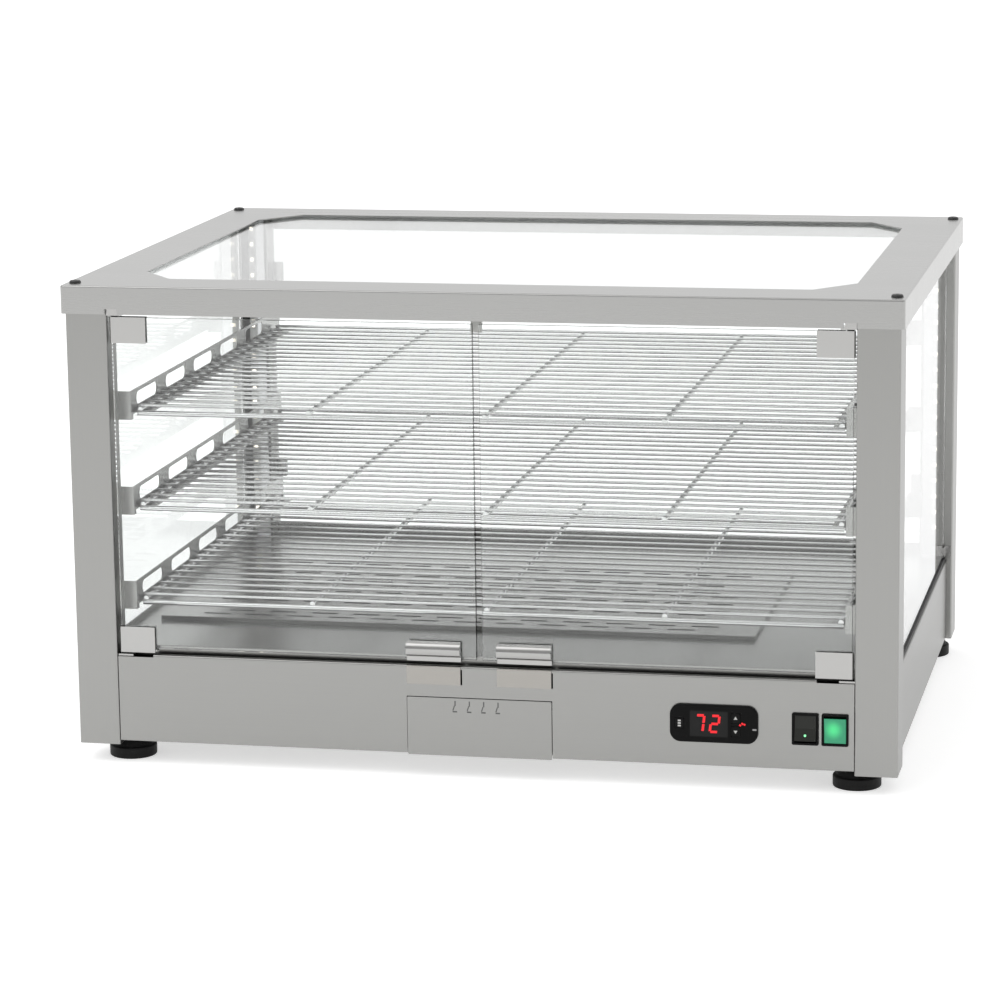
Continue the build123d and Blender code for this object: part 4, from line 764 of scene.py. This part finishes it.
class CABINET_OT_studio(bpy.types.Operator):
    """Plain floor, soft light and the camera"""

    bl_idname = "cabinet.studio"
    bl_label = "Set the studio"

    def execute(self, context):
        studio = context.scene.cabinet_studio
        context.scene.view_settings.view_transform = "Standard"
        self.add_floor(studio)
        self.add_world(context, studio)
        self.add_lamps(studio)
        self.add_camera(context, studio)
        return {"FINISHED"}

    def shown_ray(self, tree):
        """One for rays from the camera, mirrors and glass, and nought for the rest."""
        path = add_node(tree, "ShaderNodeLightPath")
        first = add_node(tree, "ShaderNodeMath", operation="MAXIMUM")
        link(tree, path.outputs["Is Camera Ray"], first.inputs[0])
        link(tree, path.outputs["Is Glossy Ray"], first.inputs[1])
        second = add_node(tree, "ShaderNodeMath", operation="MAXIMUM")
        link(tree, first.outputs["Value"], second.inputs[0])
        link(tree, path.outputs["Is Transmission Ray"], second.inputs[1])
        return second.outputs["Value"]

    def add_floor(self, studio):
        """A large pale floor that keeps the cabinet's shadow."""
        tone = studio.floor_tone
        material = plain_material("Studio floor", (tone, tone, tone), 0.9)
        tree = material.node_tree
        shader = tree.nodes["Principled BSDF"]
        shader.inputs["Specular IOR Level"].default_value = 0.0
        shader.inputs["Emission Color"].default_value = (1, 1, 1, 1)
        lift = add_node(tree, "ShaderNodeMath", operation="MULTIPLY")
        lift.inputs[1].default_value = studio.floor_lift
        link(tree, self.shown_ray(tree), lift.inputs[0])
        link(tree, lift.outputs["Value"], shader.inputs["Emission Strength"])
        mesh = bmesh.new()
        bmesh.ops.create_grid(mesh, x_segments=1, y_segments=1, size=studio.floor_size / 2)
        data = bpy.data.meshes.new("studio_floor")
        mesh.to_mesh(data)
        mesh.free()
        floor = bpy.data.objects.new("studio_floor", data)
        data.materials.append(material)
        bpy.context.scene.collection.objects.link(floor)

    def add_world(self, context, studio):
        """Surroundings that are white to look at and a soft grey in front to the mirrors."""
        world = bpy.data.worlds.new("Studio surroundings")
        context.scene.world = world
        world.use_nodes = True
        tree = world.node_tree
        tree.nodes.clear()
        place = add_node(tree, "ShaderNodeTexCoord")
        split = add_node(tree, "ShaderNodeSeparateXYZ")
        link(tree, place.outputs["Generated"], split.inputs["Vector"])
        front = add_node(tree, "ShaderNodeMapRange", interpolation_type="SMOOTHSTEP")
        front.inputs["From Min"].default_value = -1.0
        front.inputs["From Max"].default_value = 0.2
        front.inputs["To Min"].default_value = studio.front_level
        front.inputs["To Max"].default_value = 1.0
        link(tree, split.outputs["Y"], front.inputs["Value"])
        path = add_node(tree, "ShaderNodeLightPath")
        shown = add_node(tree, "ShaderNodeMix", data_type="FLOAT")
        link(tree, path.outputs["Is Camera Ray"], shown.inputs["Factor"])
        link(tree, front.outputs["Result"], shown.inputs["A"])
        shown.inputs["B"].default_value = 1.0
        level = add_node(tree, "ShaderNodeMix", data_type="FLOAT")
        link(tree, self.shown_ray(tree), level.inputs["Factor"])
        level.inputs["A"].default_value = studio.ambient
        link(tree, shown.outputs["Result"], level.inputs["B"])
        light = add_node(tree, "ShaderNodeBackground")
        light.inputs["Color"].default_value = (1, 1, 1, 1)
        link(tree, level.outputs["Result"], light.inputs["Strength"])
        output = add_node(tree, "ShaderNodeOutputWorld")
        link(tree, light.outputs["Background"], output.inputs["Surface"])

    def add_lamps(self, studio):
        """One large soft lamp above the left front."""
        lamp = bpy.data.lights.new("soft_key", "AREA")
        lamp.shape = "SQUARE"
        lamp.size = KEY_SIZE
        lamp.energy = studio.key_power
        holder = bpy.data.objects.new("soft_key", lamp)
        holder.location = KEY_PLACE
        aim = Vector(KEY_AIM) - holder.location
        holder.rotation_euler = aim.to_track_quat("-Z", "Y").to_euler()
        bpy.context.scene.collection.objects.link(holder)

    def add_camera(self, context, studio):
        """The camera that matches the photograph's view."""
        heading, tilt, roll = studio.camera_turn
        forward = Vector((
            math.sin(heading) * math.cos(tilt), math.cos(heading) * math.cos(tilt), math.sin(tilt),
        ))
        level_right = Vector((math.cos(heading), -math.sin(heading), 0))
        level_up = level_right.cross(forward)
        right = math.cos(roll) * level_right + math.sin(roll) * level_up
        up = -math.sin(roll) * level_right + math.cos(roll) * level_up
        turn = Matrix((right, up, -forward)).transposed().to_4x4()
        data = bpy.data.cameras.new("front_camera")
        data.sensor_width = 36.0
        data.lens = studio.lens
        data.clip_end = 100.0
        camera = bpy.data.objects.new("front_camera", data)
        camera.matrix_world = Matrix.Translation(Vector(studio.camera_place)) @ turn
        context.scene.collection.objects.link(camera)
        context.scene.camera = camera


class CABINET_PT_panel(bpy.types.Panel):
    """Lists the cabinet's steps"""

    bl_idname = "CABINET_PT_panel"
    bl_label = "Pastry display cabinet"
    bl_space_type = "VIEW_3D"
    bl_region_type = "UI"
    bl_category = "Cabinet"

    def draw(self, context):
        layout = self.layout
        for step in STEPS:
            layout.operator(step.bl_idname)
        for settings in (
            context.scene.cabinet_look, context.scene.cabinet_marks, context.scene.cabinet_studio,
        ):
            box = layout.box()
            for name in settings.__annotations__:
                box.prop(settings, name)


STEPS = (
    CABINET_OT_sheet,
    CABINET_OT_glass,
    CABINET_OT_racks,
    CABINET_OT_fittings,
    CABINET_OT_works,
    CABINET_OT_controls,
    CABINET_OT_drawer_marks,
    CABINET_OT_studio,
)
CLASSES = (CabinetLook, CabinetMarks, CabinetStudio, *STEPS, CABINET_PT_panel)


def register():
    """Registers the classes and hangs the settings on the scene."""
    for item in CLASSES:
        bpy.utils.register_class(item)
    bpy.types.Scene.cabinet_look = bpy.props.PointerProperty(type=CabinetLook)
    bpy.types.Scene.cabinet_marks = bpy.props.PointerProperty(type=CabinetMarks)
    bpy.types.Scene.cabinet_studio = bpy.props.PointerProperty(type=CabinetStudio)


def unregister():
    """Takes the settings and the classes away."""
    del bpy.types.Scene.cabinet_studio
    del bpy.types.Scene.cabinet_marks
    del bpy.types.Scene.cabinet_look
    for item in reversed(CLASSES):
        bpy.utils.unregister_class(item)


def main():
    """Runs every step in order."""
    register()
    bpy.ops.cabinet.sheet()
    bpy.ops.cabinet.glass()
    bpy.ops.cabinet.racks()
    bpy.ops.cabinet.fittings()
    bpy.ops.cabinet.works()
    bpy.ops.cabinet.controls()
    bpy.ops.cabinet.drawer_marks()
    bpy.ops.cabinet.studio()


if __name__ == "__main__":
    main()
